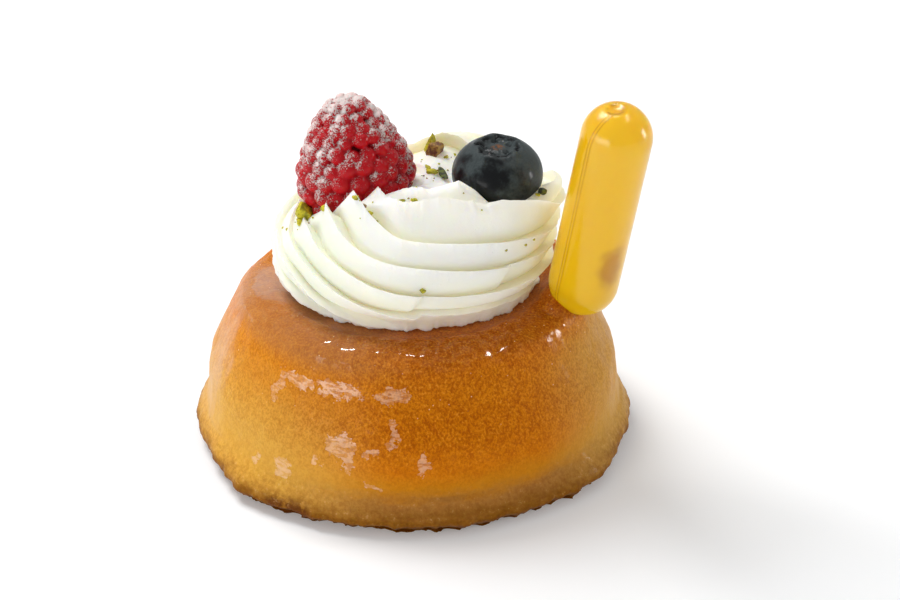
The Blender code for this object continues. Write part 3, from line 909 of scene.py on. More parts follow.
@dataclass
class Pipette:
    """The clear squeeze bulb with its stem, and the rum that fills it."""

    bulb: Bulb
    seam_turn: float = math.radians(180.0)
    seam_gap: float = 0.55 * MM
    seam_height: float = 0.10 * MM
    seam_width: float = 0.13 * MM
    seal_line: float = 0.36 * MM
    seal_grain: float = 0.8 * MM
    bubbles: int = 22
    bubble_seed: int = 3
    contact: float = 0.05 * MM

    def seal_mark(self, point: Vector) -> float:
        """Tells how strongly the round seal shows at a point of its end, from 0 to 1."""
        away = self.bulb.from_seal(point) - 0.85 * self.bulb.seal_radius
        return bell(away / self.seal_line) * smooth_step(0.5 + noise.noise(point / self.seal_grain))

    def is_outside(self, point: Vector) -> bool:
        """Tells whether a point of the shell is on the bulb's outer face, where the mould seam runs.

        Args:
            point: A point in the bulb's own frame.

        Returns:
            Whether it is.
        """
        bulb = self.bulb
        inner_radius = bulb.radius - bulb.wall
        reach = math.hypot(point.x, point.y)
        if reach < 0.5 * (bulb.radius + inner_radius) and -1.0 * MM < point.z < bulb.length:
            return False
        if reach < bulb.stem_radius or point.z < -bulb.radius:
            return False
        nearest = UP * min(max(point.z, 0.0), bulb.length)
        return (point - nearest).length >= inner_radius + MERGE

    def build_shell(self) -> bpy.types.Object:
        """Builds the hollow bulb with its stem, open at the tip, and its double mould seam.

        Returns:
            The bulb.
        """
        bulb = self.bulb
        inner_radius = bulb.radius - bulb.wall
        outer = bulb.outline(bulb.radius, bulb.stem_radius)
        inner = bulb.outline(inner_radius, bulb.stem_bore)
        tip = -bulb.radius - bulb.stem_length
        rim = [(bulb.stem_bore, tip), (bulb.stem_tip, tip)]
        bm = turned(rim + outer + inner[::-1] + rim[:1], bulb.turn_steps)
        # The seam mark, which darkens the plastic as painted shade, rings the seal and follows the seam
        # lines.
        marks = bm.verts.layers.float.new("seam")
        for vert in bm.verts:
            if vert.co.z > bulb.length + 0.9 * inner_radius:
                vert[marks] = self.seal_mark(vert.co)
            if not self.is_outside(vert.co):
                continue
            reach = math.hypot(vert.co.x, vert.co.y)
            away = math.remainder(math.atan2(vert.co.y, vert.co.x) - self.seam_turn, TURN) * reach
            lift = sum(bell((away - side * self.seam_gap) / self.seam_width) for side in (-0.5, 0.5))
            vert[marks] = max(vert[marks], 0.7 * lift)
            vert.co.x *= 1.0 + lift * self.seam_height / reach
            vert.co.y *= 1.0 + lift * self.seam_height / reach
        bulb.press_seal(bm)
        bmesh.ops.transform(bm, matrix=bulb.frame(), verts=bm.verts)
        return new_object("pipette_bulb", bm, 60.0)

    def build_rum(self) -> bpy.types.Object:
        """Builds the rum, which reaches just into the bulb's wall, with small bubbles.

        Returns:
            The rum.
        """
        bulb = self.bulb
        radius = bulb.radius - bulb.wall + self.contact
        outline = bulb.outline(radius, MERGE)
        outline[0] = (0.0, -radius)
        bm = turned(outline, 120)
        bulb.press_seal(bm)
        rng = random.Random(self.bubble_seed)
        for _ in range(self.bubbles):
            angle = rng.uniform(0.0, TURN)
            reach = radius * rng.uniform(0.25, 0.9)
            high = between(-0.3, 1.08, rng.random() ** 0.8) * bulb.length
            size = rng.uniform(0.08, 0.24) * MM
            in_end = high > bulb.length - 1.0 * MM or high < 0.0
            matrix = Matrix.Translation(around(angle, 0.5 * reach if in_end else reach, high))
            made = bmesh.ops.create_icosphere(bm, subdivisions=2, radius=size, matrix=matrix)
            faces = {face for vert in made["verts"] for face in vert.link_faces}
            bmesh.ops.reverse_faces(bm, faces=list(faces))
        bmesh.ops.transform(bm, matrix=bulb.frame(), verts=bm.verts)
        return new_object("rum_fill", bm, 60.0)

    def build(self) -> None:
        """Builds and dresses the bulb and the rum."""
        finish_piece(self.build_shell(), PlasticFinish().build(), "pipette")
        finish_piece(self.build_rum(), RumFinish().build(), "rum")


@dataclass(frozen=True)
class Sag:
    """A place round a shape that is out of line: its middle and spread in degrees, and how far it moves."""

    middle: float
    spread: float
    move: float

    def at(self, turn: float) -> float:
        """Gives the move at a number of degrees round the shape."""
        return self.move * bell(math.remainder(turn - self.middle, 360.0) / self.spread)


@dataclass
class Cake:
    """The soaked cake: a turned outline with a torn foot, an uneven skin and the pipette's dent."""

    bulb: Bulb
    foot_radius: float = 33.8 * MM
    flare_radius: float = 36.3 * MM
    flare_height: float = 3.5 * MM
    waist_radius: float = 34.4 * MM
    waist_height: float = 9.7 * MM
    shoulder_radius: float = 30.6 * MM
    shoulder_height: float = 21.0 * MM
    side_bulge: float = 1.0 * MM
    crest_radius: float = 22.8 * MM
    height: float = 28.8 * MM
    hollow_radius: float = 21.4 * MM
    hollow_depth: float = 0.5 * MM
    shoulder_power: float = 2.3
    crag_depth: float = 1.1 * MM
    crag_count: int = 31
    crag_top: float = 6.5 * MM
    turn_steps: int = 640
    dent_gap: float = 0.05 * MM
    lip_width: float = 3.0 * MM
    lip_height: float = 1.9 * MM
    swells: tuple[Sag, ...] = (Sag(-134.0, 16.0, 1.6 * MM), Sag(-38.0, 14.0, 1.4 * MM))
    swell_low: float = 1.0 * MM
    swell_fade: float = 7.0 * MM
    slump: Sag = Sag(160.0, 36.0, 2.2 * MM)
    slump_low: float = 22.0 * MM
    slump_fade: float = 7.0 * MM
    slump_inner: float = 14.0 * MM
    slump_reach: float = 6.0 * MM
    ease_rounds: int = 160

    def profile(self) -> Profile:
        """Works out the outline, from the middle of the underside to the middle of the hollow top.

        Returns:
            Points of radius and height.
        """
        low = [
            (0.5 * self.foot_radius, 0.0), (self.foot_radius - 1.2 * MM, 0.0), (self.foot_radius, 0.4 * MM),
            (self.flare_radius - 0.25 * MM, 0.55 * self.flare_height), (self.flare_radius, self.flare_height),
            (self.flare_radius - 0.6 * MM, self.flare_height + 2.0 * MM),
        ]
        points = [(0.0, 0.0), (0.25 * self.foot_radius, 0.0), (0.5 * self.foot_radius, 0.0)]
        points += [(share * self.foot_radius, 0.0) for share in (0.7, 0.8, 0.88, 0.93)]
        lip = [along(low, 1.0 + step / 5.0) for step in range(16)]
        points += [(radius, max(height, 0.0)) for radius, height in lip]
        flare_steps, side_steps, round_steps = 18, 34, 34
        for step in range(1, flare_steps + 1):
            share = step / flare_steps
            radius = between(self.flare_radius, self.waist_radius, math.sin(0.5 * math.pi * share))
            points.append((radius, between(self.flare_height, self.waist_height, share)))
        for step in range(1, side_steps + 1):
            share = step / side_steps
            bulge = self.side_bulge * math.sin(math.pi * share)
            radius = between(self.waist_radius, self.shoulder_radius, share) + bulge
            points.append((radius, between(self.waist_height, self.shoulder_height, share)))
        for step in range(1, round_steps + 1):
            angle = 0.5 * math.pi * step / round_steps
            power = 2.0 / self.shoulder_power
            radius = between(self.crest_radius, self.shoulder_radius, math.cos(angle) ** power)
            rise = (self.height - self.shoulder_height) * math.sin(angle) ** power
            points.append((radius, self.shoulder_height + rise))
        count = len(points)
        points = self.eased(points, count - round_steps - side_steps // 2, count - round_steps // 2)
        floor = self.height - self.hollow_depth
        edge = between(self.crest_radius, self.hollow_radius, 0.5)
        points += [(edge, self.height - 0.5 * self.hollow_depth)]
        points += [(self.hollow_radius * share, floor) for share in (1.0, 0.9, 0.7, 0.45, 0.2, 0.0)]
        return points

    def eased(self, points: Profile, first: int, last: int) -> Profile:
        """Smooths the stretch of an outline where the side turns into the shoulder.

        Args:
            points: The outline.
            first: The first point that may move.
            last: The last point that may move.

        Returns:
            The smoothed outline.
        """
        for _ in range(self.ease_rounds):
            pairs = zip(points[first - 1:last - 1], points[first + 1:last + 1])
            points[first:last] = [(0.5 * (a[0] + b[0]), 0.5 * (a[1] + b[1])) for a, b in pairs]
        return points

    def tear_foot(self, vert: bmesh.types.BMVert, direction: Vector, radius: float) -> None:
        """Tears the foot into crags that stand out unevenly, and leaves the underside flat.

        Args:
            vert: A point of the skin.
            direction: The way outward there.
            radius: Its distance from the cake's axis.
        """
        if radius < 0.8 * self.foot_radius or vert.co.z > self.crag_top:
            return
        rise = vert.co.z / MM
        torn = noise.noise(direction * self.crag_count * 0.5 + Vector((0.0, 0.0, 0.25 * rise)))
        torn += 0.6 * noise.noise(direction * self.crag_count + Vector((0.0, 0.0, 0.5 * rise)))
        wave = 0.6 * noise.noise(direction * 2.4 + Vector((0.0, 0.0, 7.0)))
        low = (1.0 - smooth_step(vert.co.z / self.crag_top)) ** 2
        tooth = 1.0 - abs(noise.noise(direction * self.crag_count * 0.45 + Vector((3.0, 0.0, 0.3 * rise))))
        crumb = noise.noise(Vector((direction.x * 40.0, direction.y * 40.0, rise * 0.8)))
        edge = 1.0 - smooth_step(rise / 2.4)
        fine = (0.55 * tooth**9 - 0.15) * edge + 0.16 * crumb * (1.0 - smooth_step(rise / 4.0))
        vert.co += direction * (self.crag_depth * (0.75 * torn * low + wave + fine))

    def sag(self, vert: bmesh.types.BMVert, direction: Vector, radius: float) -> None:
        """Swells the foot at its two bulges and lets the back of the shoulder sink.

        Args:
            vert: A point of the skin.
            direction: The way outward there.
            radius: Its distance from the cake's axis.
        """
        turn = math.degrees(math.atan2(vert.co.y, vert.co.x))
        low = 1.0 - smooth_step((vert.co.z - self.swell_low) / self.swell_fade)
        share = low * min(1.0, radius / (30.0 * MM))
        for swell in self.swells:
            vert.co += direction * (swell.at(turn) * share)
        high = smooth_step((vert.co.z - self.slump_low) / self.slump_fade)
        high *= smooth_step((radius - self.slump_inner) / self.slump_reach)
        vert.co.z -= self.slump.at(turn) * high

    def roughen(self, bm: Shape) -> None:
        """Gives the skin lumps, pocks, a torn foot and its places that are out of line.

        Args:
            bm: The shape, which is changed.
        """
        bm.normal_update()
        moves = {}
        for vert in bm.verts:
            if vert.co.z < 0.3 * MM:
                continue
            point = vert.co / MM
            rim = smooth_step((vert.co.z - 26.0 * MM) / (2.0 * MM))
            lump = 0.22 * noise.noise(point / 7.0)
            lump += 0.10 * noise.noise(point / 2.6 + Vector((5.0, 0.0, 0.0)))
            pock = noise.noise(point / 1.1)
            pock = -0.10 * max(0.0, pock - 0.35) + 0.035 * noise.noise(point / 0.75)
            moves[vert] = vert.normal * ((lump + pock * (1.0 - rim)) * MM)
        for vert, move in moves.items():
            vert.co += move
        for vert in bm.verts:
            radius = math.hypot(vert.co.x, vert.co.y)
            if radius > MERGE:
                direction = Vector((vert.co.x, vert.co.y, 0.0)) / radius
                self.tear_foot(vert, direction, radius)
                self.sag(vert, direction, radius)

    def press_dent(self, bm: Shape) -> None:
        """Presses the pipette's bulb into the skin, which swells a little round it.

        Args:
            bm: The shape, which is changed.
        """
        axis = (self.bulb.high - self.bulb.low).normalized()
        reach = self.bulb.radius + self.dent_gap
        for vert in bm.verts:
            if vert.co.z < self.shoulder_height:
                continue
            for pressing in (False, True):
                place = max((vert.co - self.bulb.low).dot(axis), 0.0)
                away = vert.co - self.bulb.low - axis * place
                gap = away.length - reach
                if pressing and gap < 0.0:
                    vert.co -= away.normalized() * gap
                elif not pressing and gap < self.lip_width:
                    vert.co.z += self.lip_height * smooth_step(1.0 - max(gap, 0.0) / self.lip_width)

    def build(self) -> None:
        """Builds and dresses the cake, with the hole of the pipette's stem."""
        bm = turned(self.profile(), self.turn_steps)
        self.roughen(bm)
        self.press_dent(bm)
        cake = new_object("soaked_cake", bm)
        tip = -self.bulb.radius - self.bulb.stem_length - 0.3 * MM
        mouth = -4.0 * MM
        wide, narrow = self.bulb.stem_radius + 0.1 * MM, self.bulb.stem_tip + 0.2 * MM
        hole = turned([(0.0, tip), (narrow, tip), (wide, mouth), (0.0, mouth)], 32)
        bmesh.ops.transform(hole, matrix=self.bulb.frame(), verts=hole.verts)
        apply_boolean(cake, "DIFFERENCE", new_object("stem_hole", hole))
        cake.data.shade_smooth()
        cake.data.set_sharp_from_angle(angle=math.radians(60.0))
        finish_piece(cake, CrustFinish().build(), "baba")


@dataclass
class Raspberry:
    """The raspberry: drupelets joined on a core, with icing sugar on its upper left."""

    base: Vector = field(default_factory=lambda: Vector((-8.6, 0.5, 42.0)) * MM)
    tip: Vector = field(default_factory=lambda: Vector((-10.9, 1.6, 59.9)) * MM)
    radius: float = 9.5 * MM
    outline: Outline = (
        (0.0, 0.84), (0.12, 0.97), (0.26, 1.0), (0.47, 0.89), (0.64, 0.73), (0.82, 0.50), (0.93, 0.30),
    )
    seed: int = 5
    drupelet_radius: float = 1.6 * MM
    low_spacing: float = 3.2 * MM
    high_spacing: float = 1.9 * MM
    row_share: float = 0.84
    plumpness: float = 0.61
    plump_ranges: Outline = ((0.94, 1.08), (0.92, 1.05), (0.86, 1.0))
    voxel: float = 0.17 * MM
    turn_shift: float = 0.37
    sugar_side: Vector = field(default_factory=lambda: Vector((-0.62, -0.25, 0.74)))

    @property
    def length(self) -> float:
        """The distance from the open end to the tip."""
        return (self.tip - self.base).length

    def frame(self) -> Matrix:
        """Gives the matrix that stands the raspberry on its place."""
        return standing(self.base, (self.tip - self.base).normalized())

    def profile(self, radius: float, overhang: float) -> Profile:
        """Works out the smooth outline, from the open end to the tip.

        Args:
            radius: The widest radius.
            overhang: How far it reaches past both ends.

        Returns:
            Points of radius and height.
        """
        points = [(r * radius, s * self.length) for s, r in self.outline]
        points.append((0.0, self.length + overhang))
        fine = [along(points, place * 0.2) for place in range((len(points) - 1) * 5)]
        side = [(max(r, 0.0), h) for r, h in fine]
        return [(0.0, -overhang), (points[0][0], -overhang)] + side + [points[-1]]

    def places(self) -> list[tuple[Vector, float]]:
        """Spreads the drupelets in staggered rings on the berry in its own frame.

        Returns:
            Each drupelet's place and radius.
        """
        rng = random.Random(self.seed)
        inset = self.drupelet_radius * 0.75
        outline = [(r * (self.radius - inset), s * self.length) for s, r in self.outline]
        outline.append((0.0, self.length - 0.9 * self.drupelet_radius))
        fine = [along(outline, place * 0.02) for place in range((len(outline) - 1) * 50 + 1)]
        walked, ring, places = 0.0, 0, []
        reach = 0.4 * self.low_spacing
        for here, there in zip(fine, fine[1:]):
            walked += math.dist(here, there)
            if walked < reach:
                continue
            spacing = between(self.low_spacing, self.high_spacing, there[1] / self.length)
            reach += self.row_share * spacing
            count = max(1, round(TURN * there[0] / spacing))
            for step in range(count):
                angle = TURN * (step + self.turn_shift * ring + rng.uniform(-0.12, 0.12)) / count
                drop = rng.uniform(-0.14, 0.14) * spacing
                size = self.plumpness * spacing * rng.uniform(0.90, 1.10)
                places.append((around(angle, there[0], there[1] + drop), size))
            ring += 1
        places.append((UP * (self.length - self.drupelet_radius), 0.9 * self.drupelet_radius))
        return places

    def build(self) -> None:
        """Builds and dresses the raspberry."""
        core = turned(self.profile(self.radius - 1.3 * self.drupelet_radius, 0.0), 48)
        rng = random.Random(self.seed + 1)
        grown = bmesh.new()
        for place, size in self.places():
            outward = Vector((place.x, place.y, 0.35 * place.z)).normalized()
            plump = [rng.uniform(low, high) for low, high in self.plump_ranges]
            matrix = standing(place, outward) @ Matrix.Diagonal((*plump, 1.0))
            bmesh.ops.create_icosphere(grown, subdivisions=3, radius=size, matrix=matrix)
        berry = new_object("raspberry_fruit", core)
        drupelets = new_object("drupelets", grown)
        bpy.context.view_layer.update()
        apply_boolean(berry, "UNION", drupelets)
        self.soften(berry)
        berry.data.transform(self.frame())
        self.mark(berry)
        berry.data.shade_smooth()
        finish_piece(berry, RaspberryFinish().build(), "raspberry")

    def soften(self, berry: bpy.types.Object) -> None:
        """Remeshes the berry evenly and softens the creases between its drupelets.

        Args:
            berry: The raspberry.
        """
        remesh = berry.modifiers.new("Remesh", "REMESH")
        remesh.mode = "VOXEL"
        remesh.voxel_size = self.voxel
        smooth = berry.modifiers.new("Smooth", "SMOOTH")
        smooth.factor = 0.5
        smooth.iterations = 3
        apply_modifiers(berry)

    def mark(self, berry: bpy.types.Object) -> None:
        """Stores where sugar lies, and how deep each point lies between drupelets, which the skin darkens as
        painted shade.

        Args:
            berry: The raspberry.
        """
        mesh = berry.data
        dust = mesh.attributes.new("dust", "FLOAT", "POINT")
        crease_shade = mesh.attributes.new("crease_shade", "FLOAT", "POINT")
        inverse = self.frame().inverted()
        points = [(r * self.radius, s * self.length) for s, r in self.outline] + [(0.0, self.length)]
        side = self.sugar_side.normalized()
        for vert in mesh.vertices:
            own = inverse @ vert.co
            reach = math.hypot(own.x, own.y)
            share = min(max(own.z / self.length, 0.0), 1.0)
            smooth = np.interp(own.z, [p[1] for p in points], [p[0] for p in points])
            gap = (smooth - reach) / MM
            depth = min(max(gap / 1.6, 0.0), 1.0)
            facing = vert.normal.dot(side)
            high = smooth_step((share - 0.05) / 0.7)
            lean = smooth_step(0.5 - vert.normal.x * 0.5)
            patch = noise.noise(vert.co / (3.2 * MM))
            west = smooth_step(0.5 - own.x / (1.1 * self.radius))
            amount = -0.14 + 0.46 * facing + 0.24 * high + 0.20 * lean + 0.62 * west
            amount += -0.26 * depth + 0.42 * patch
            dust.data[vert.index].value = min(max(amount, 0.0), 1.0)
            crease_shade.data[vert.index].value = depth


@dataclass
class Blueberry:
    """The blueberry with its five-lobed crown."""

    centre: Vector = field(default_factory=lambda: Vector((13.9, -2.0, 48.0)) * MM)
    radius: float = 7.4 * MM
    half_height: float = 6.0 * MM
    crown_radius: float = 3.6 * MM
    crown_depth: float = 1.1 * MM
    crown_lobes: int = 5
    lean: float = math.radians(4.0)
    turn_steps: int = 200

    def frame(self) -> Matrix:
        """Gives the matrix that leans the berry on its place."""
        return Matrix.Translation(self.centre) @ Matrix.Rotation(self.lean, 4, "X")

    def profile(self) -> Profile:
        """Works out the outline, from the lowest point over the crown's rim into the crown.

        Returns:
            Points of radius and height.
        """
        rim_angle = math.acos(self.crown_radius / self.radius)
        side_steps = 60
        points = [(0.0, -self.half_height)]
        for step in range(1, side_steps + 1):
            angle = -0.5 * math.pi + (rim_angle + 0.5 * math.pi) * step / side_steps
            points.append((self.radius * math.cos(angle), self.half_height * math.sin(angle)))
        rim = points[-1][1]
        crown = [
            points[-2], points[-1], (0.86 * self.crown_radius, rim + 0.25 * self.crown_depth),
            (0.62 * self.crown_radius, rim - 0.5 * self.crown_depth), (0.0, rim - 0.75 * self.crown_depth),
        ]
        crown_steps = 36
        points += [along(crown, 1.0 + 3.0 * step / crown_steps) for step in range(1, crown_steps + 1)]
        points[-1] = crown[-1]
        return [(max(radius, 0.0), height) for radius, height in points]

    def shape_crown(self, vert: bmesh.types.BMVert, share: float) -> float:
        """Shapes a point of the ragged crown.

        Args:
            vert: The point.
            share: Its distance from the berry's axis as a share of the crown's radius.

        Returns:
            How deep it lies in the crown's gaps, from 0 to 1.
        """
        angle = math.atan2(vert.co.y, vert.co.x)
        lobe = 0.5 + 0.5 * math.cos(self.crown_lobes * angle + 0.6)
        ragged = noise.noise(around(angle, 1.0, 0.3) * 2.6)
        slot = smooth_step(0.5 + 0.8 * (lobe - 0.4) + 0.9 * ragged)
        vert.co.z += 0.26 * (1.0 - lobe) * bell((share - 1.08) / 0.12) * MM
        shift = 0.10 * noise.noise(around(angle, 1.0, 4.0) * 5.0)
        dip = bell((share - 0.88 - shift) / 0.10)
        inner = 0.5 * bell((share - 0.58 + shift) / 0.07) * smooth_step(1.2 - 2.0 * lobe)
        vert.co.z -= (0.80 * slot * dip + 0.6 * inner) * MM
        vert.co.z += 0.45 * (1.0 - smooth_step((share - 0.2) / 0.5)) * MM
        vert.co.z += 0.10 * noise.noise(vert.co / (0.5 * MM)) * (1.0 - smooth_step(share - 0.3)) * MM
        return min(1.0, slot * dip * 1.1 + inner)

    def build(self) -> None:
        """Builds and dresses the blueberry."""
        bm = turned(self.profile(), self.turn_steps)
        rim = self.half_height * math.sin(math.acos(self.crown_radius / self.radius))
        marks = {"crown": {}, "slot": {}}
        for vert in bm.verts:
            share = math.hypot(vert.co.x, vert.co.y) / self.crown_radius
            if vert.co.z > 0.5 * rim:
                # The slot mark turns the crown's gaps near black as painted shade.
                marks["slot"][vert.index] = self.shape_crown(vert, share)
            dimple = 0.06 * noise.noise(vert.co / (3.5 * MM)) + 0.02 * noise.noise(vert.co / (1.0 * MM))
            vert.co += vert.co.normalized() * (dimple * MM)
            inside = 1.0 - smooth_step((share - 0.12) / 0.25)
            marks["crown"][vert.index] = inside if vert.co.z > 0.5 * rim else 0.0
        bm.verts.index_update()
        bmesh.ops.transform(bm, matrix=self.frame(), verts=bm.verts)
        berry = new_object("blueberry_fruit", bm, 60.0)
        for name, amounts in marks.items():
            layer = berry.data.attributes.new(name, "FLOAT", "POINT")
            for index, amount in amounts.items():
                layer.data[index].value = amount
        finish_piece(berry, BlueberryFinish().build(), "blueberry")


@dataclass(frozen=True)
class Stretch:
    """A stretch round a shape: where it starts, its rise, where it ends and its fall, in degrees."""

    start: float
    rise: float
    end: float
    fall: float

    def at(self, turn: float) -> float:
        """Tells from 0 to 1 how much of the stretch holds at a number of degrees."""
        return smooth_step((turn - self.start) / self.rise) * smooth_step((self.end - turn) / self.fall)


@dataclass
class Cream:
    """The piped cream: spiral ridges with crisp crests laid over a smooth outline for each quarter."""

    raspberry: Raspberry
    blueberry: Blueberry
    base: float = 28.6 * MM
    hollow_floor: float = 44.6 * MM
    right: Outline = (
        (20.8, 0.0), (22.6, 3.6), (23.3, 7.2), (23.8, 10.6), (24.5, 14.0), (24.2, 17.4), (14.0, 16.0),
    )
    back: Outline = (
        (20.4, 0.0), (22.4, 3.6), (22.4, 7.2), (21.2, 10.4), (19.0, 13.0), (15.6, 14.8), (9.0, 15.6),
    )
    left: Outline = (
        (21.2, 0.0), (22.9, 3.0), (23.0, 6.6), (22.0, 9.4), (19.6, 11.4), (16.6, 12.4), (10.0, 13.4),
    )
    front: Outline = (
        (19.4, 0.0), (22.8, 3.8), (22.5, 7.2), (21.0, 11.4), (18.9, 14.9), (14.7, 19.6), (8.2, 18.6),
    )
    lobes: tuple[Sag, ...] = (
        Sag(66.0, 24.0, 3.8 * MM), Sag(30.0, 17.0, -4.0 * MM), Sag(228.0, 25.0, 3.4 * MM),
    )
    starts: int = 6
    climb_from: float = math.radians(165.0)
    climb_to: float = math.radians(268.0)
    climb_share: float = 0.37
    ridge_shift: float = 0.12
    ridge_depth: float = 2.0 * MM
    ridge_crest: float = 0.87
    ridge_lean: float = 0.42
    blade_share: float = 0.75
    blades: Stretch = Stretch(204.0, 12.0, 266.0, 14.0)
    calm_share: float = 0.62
    calm: Stretch = Stretch(160.0, 20.0, 216.0, 18.0)
    held_share: float = 0.6
    held: Stretch = Stretch(268.0, 50.0, 356.0, 30.0)
    rim: float = 5.0
    fold_places: tuple[tuple[int, float, float, float, float], ...] = (
        (2, 309.0, 5.0, 0.9, 26.0), (1, 268.0, 6.0, 0.8, 34.0),
    )
    mound_turns: tuple[float, ...] = (-5.0, 2.0, 7.5, 12.0)
    mound_crests: tuple[float, ...] = (-8.6, -9.0, -9.6, -10.2)
    mound_places: tuple[float, ...] = (-8.0, -5.0, -1.0, 3.0, 7.5, 10.0, 12.5, 14.5)
    mound_rises: tuple[float, ...] = (0.0, 1.1, 1.2, 1.5, 4.4, 3.4, 0.9, 0.0)
    rim_rise: float = 1.5 * MM
    rim_front: Stretch = Stretch(264.0, 24.0, 362.0, 26.0)
    blueberry_gap: float = 0.1 * MM
    raspberry_sunk: float = 0.35 * MM
    raspberry_low: float = 0.9 * MM
    rows: tuple[float, ...] = (
        0.0, 0.02, 0.05, 0.10, 0.17, 0.25, 0.34, 0.44, 0.54, 0.64, 0.73, 0.79, 0.83, 0.855, 0.87, 0.885, 0.90,
        0.925, 0.955, 0.98,
    )
    turn_steps: int = 600
    table_steps: int = 350

    @property
    def last(self) -> int:
        """The number of the outline's last place, in the middle of the hollow."""
        return len(self.front)

    def climb(self, angle: float) -> float:
        """Tells how far the ridges have climbed, from 0 to 1, at an angle round the cream."""
        steep = smooth_step((angle - self.climb_from) / (self.climb_to - self.climb_from))
        return (1.0 - self.climb_share) * angle / TURN + self.climb_share * steep

    def quarter_tables(self, places: np.ndarray) -> np.ndarray:
        """Reads each quarter's smooth outline at many places.

        Args:
            places: The places along the outline.

        Returns:
            Radius and height in metres, for each quarter and place.
        """
        tables = []
        for outline in (self.right, self.back, self.left, self.front):
            points = [(r * MM, self.base + h * MM) for r, h in outline] + [(0.0, self.hollow_floor)]
            tables.append([along(points, place) for place in places])
        return np.array(tables)

    def outline(self, angle: float, places: np.ndarray, tables: np.ndarray) -> np.ndarray:
        """Blends the quarters' outlines at an angle, with the lobes on the rim.

        Args:
            angle: The angle round the cream.
            places: The places along the outline.
            tables: The quarters' outlines at those places.

        Returns:
            Radius and height in metres at each place.
        """
        weights = [max(0.0, math.cos(angle - 0.5 * math.pi * quarter)) ** 2 for quarter in range(4)]
        made = np.tensordot(weights, tables, axes=1)
        for lobe in self.lobes:
            made[:, 1] += lobe.at(math.degrees(angle)) * np.exp(-((places - self.rim) ** 2))
        return made

    def crumple(self, angle: float, phase: float, tooth: float, fade: float, place: float) -> float:
        """Works out the fine unevenness of crests, faces and the lower edge.

        Args:
            angle: The angle round the cream.
            phase: The row.
            tooth: How near the row is to its band's crest, from 0 to 1.
            fade: The share of the ridges that holds there.
            place: The place along the smooth outline.

        Returns:
            How far the point stands out, in metres.
        """
        turns = self.starts * angle / TURN
        seed = around(angle, 9.0, (math.floor(phase) - turns) * 3.7)
        crisp = 0.22 * noise.noise(seed) + 0.16 * noise.noise(seed * 2.3) + 0.07 * noise.noise(seed * 6.0)
        drag = around(angle, 5.0, (phase - turns) * 9.0)
        face = 0.05 * noise.noise(drag) + 0.03 * noise.noise(drag * 2.1)
        ragged = 0.55 * noise.noise(around(angle) * 11.0)
        ragged += 0.22 * noise.noise(around(angle, 1.0, 2.0) * 40.0)
        edge = max(0.0, 1.0 - place / 0.6)
        return (crisp * tooth**6 + face) * fade * MM + ragged * edge * MM

    def column(
        self, angle: float, phases: np.ndarray, places: np.ndarray, tables: np.ndarray,
    ) -> np.ndarray:
        """Works out the ridged cream's points at one angle.

        Args:
            angle: The angle round the cream.
            phases: The rows, where whole numbers are grooves.
            places: Places along the smooth outline.
            tables: The quarters' outlines at those places.

        Returns:
            Radius, height, groove depth share, for each row.
        """
        smooth = self.outline(angle, places, tables)
        degrees = math.degrees(angle)
        place = phases + self.ridge_shift - self.starts * (self.climb(angle) - self.climb(FRONT))
        place = place + self.held_share * self.held.at(degrees) * np.clip((place - 3.0) / 2.0, 0.0, 1.0)
        place = np.clip(place, 0.0, float(self.last))
        sides = (-0.05, 0.0, 0.05)
        reach = [np.interp(place + side, places, smooth[:, 0]) for side in sides]
        high = [np.interp(place + side, places, smooth[:, 1]) for side in sides]
        slope = np.stack([reach[2] - reach[0], high[2] - high[0]])
        slope /= np.maximum(np.linalg.norm(slope, axis=0), 1e-9)
        share = phases - np.floor(phases)
        crest = self.ridge_crest
        tooth = np.where(share <= crest, share / crest, (1.0 - share) / (1.0 - crest))
        start = np.clip(place / 0.5, 0.0, 1.0)
        end = np.clip((self.last - place) / 1.5, 0.0, 1.0)
        fade = start * start * (3.0 - 2.0 * start) * end * end * (3.0 - 2.0 * end)
        high_up = np.clip((place - 3.2) / 1.0, 0.0, 1.0) * np.clip((6.2 - place) / 0.8, 0.0, 1.0)
        blade = 1.0 + self.blade_share * self.blades.at(degrees) * high_up
        ridge = self.ridge_depth * fade * (blade - self.calm_share * self.calm.at(degrees))
        depth = ridge * (tooth + 0.05 * np.sin(TURN * tooth) - 0.8)
        depth -= self.folds(degrees, phases, share) * fade
        depth += [self.crumple(angle, *row) for row in zip(phases, tooth, fade, place)]
        raised = self.ridge_lean * ridge * tooth**2 * np.clip(5.6 - place, 0.0, 1.0)
        groove = np.clip(1.0 - tooth * 2.6, 0.0, 1.0) * fade
        made_reach = reach[1] + slope[1] * depth + slope[0] * raised
        made_high = high[1] - slope[0] * depth + slope[1] * raised
        inner = self.mound(made_reach * math.cos(angle), made_reach * math.sin(angle))
        made_high += inner * (place > self.rim - 0.1)
        near_rim = np.exp(-(((place - self.rim) / 0.55) ** 2))
        made_high += self.rim_rise * self.rim_front.at(degrees) * tooth**3 * near_rim
        return np.stack([made_reach, made_high, groove], axis=1)

    def folds(self, degrees: float, phases: np.ndarray, share: np.ndarray) -> np.ndarray:
        """Tells how far the faces step back where a band was folded over, in metres.

        Args:
            degrees: The angle round the cream.
            phases: The rows.
            share: Each row's share of its band.

        Returns:
            The step back at each row.
        """
        bands = np.floor(phases)
        made = np.zeros(len(phases))
        for band, start, slant, step, length in self.fold_places:
            past = degrees - start - slant * share
            rise = np.clip(past / 2.2, 0.0, 1.0)
            fall = np.clip(1.0 - (past - 3.0) / length, 0.0, 1.0)
            made += (bands == band) * step * MM * rise * rise * (3.0 - 2.0 * rise) * fall
        merging = smooth_step((degrees - 271.0) / 4.0)
        made += (bands == 0) * merging * 0.85 * self.ridge_depth * np.clip(share - 0.3, 0.0, 1.0)
        return made

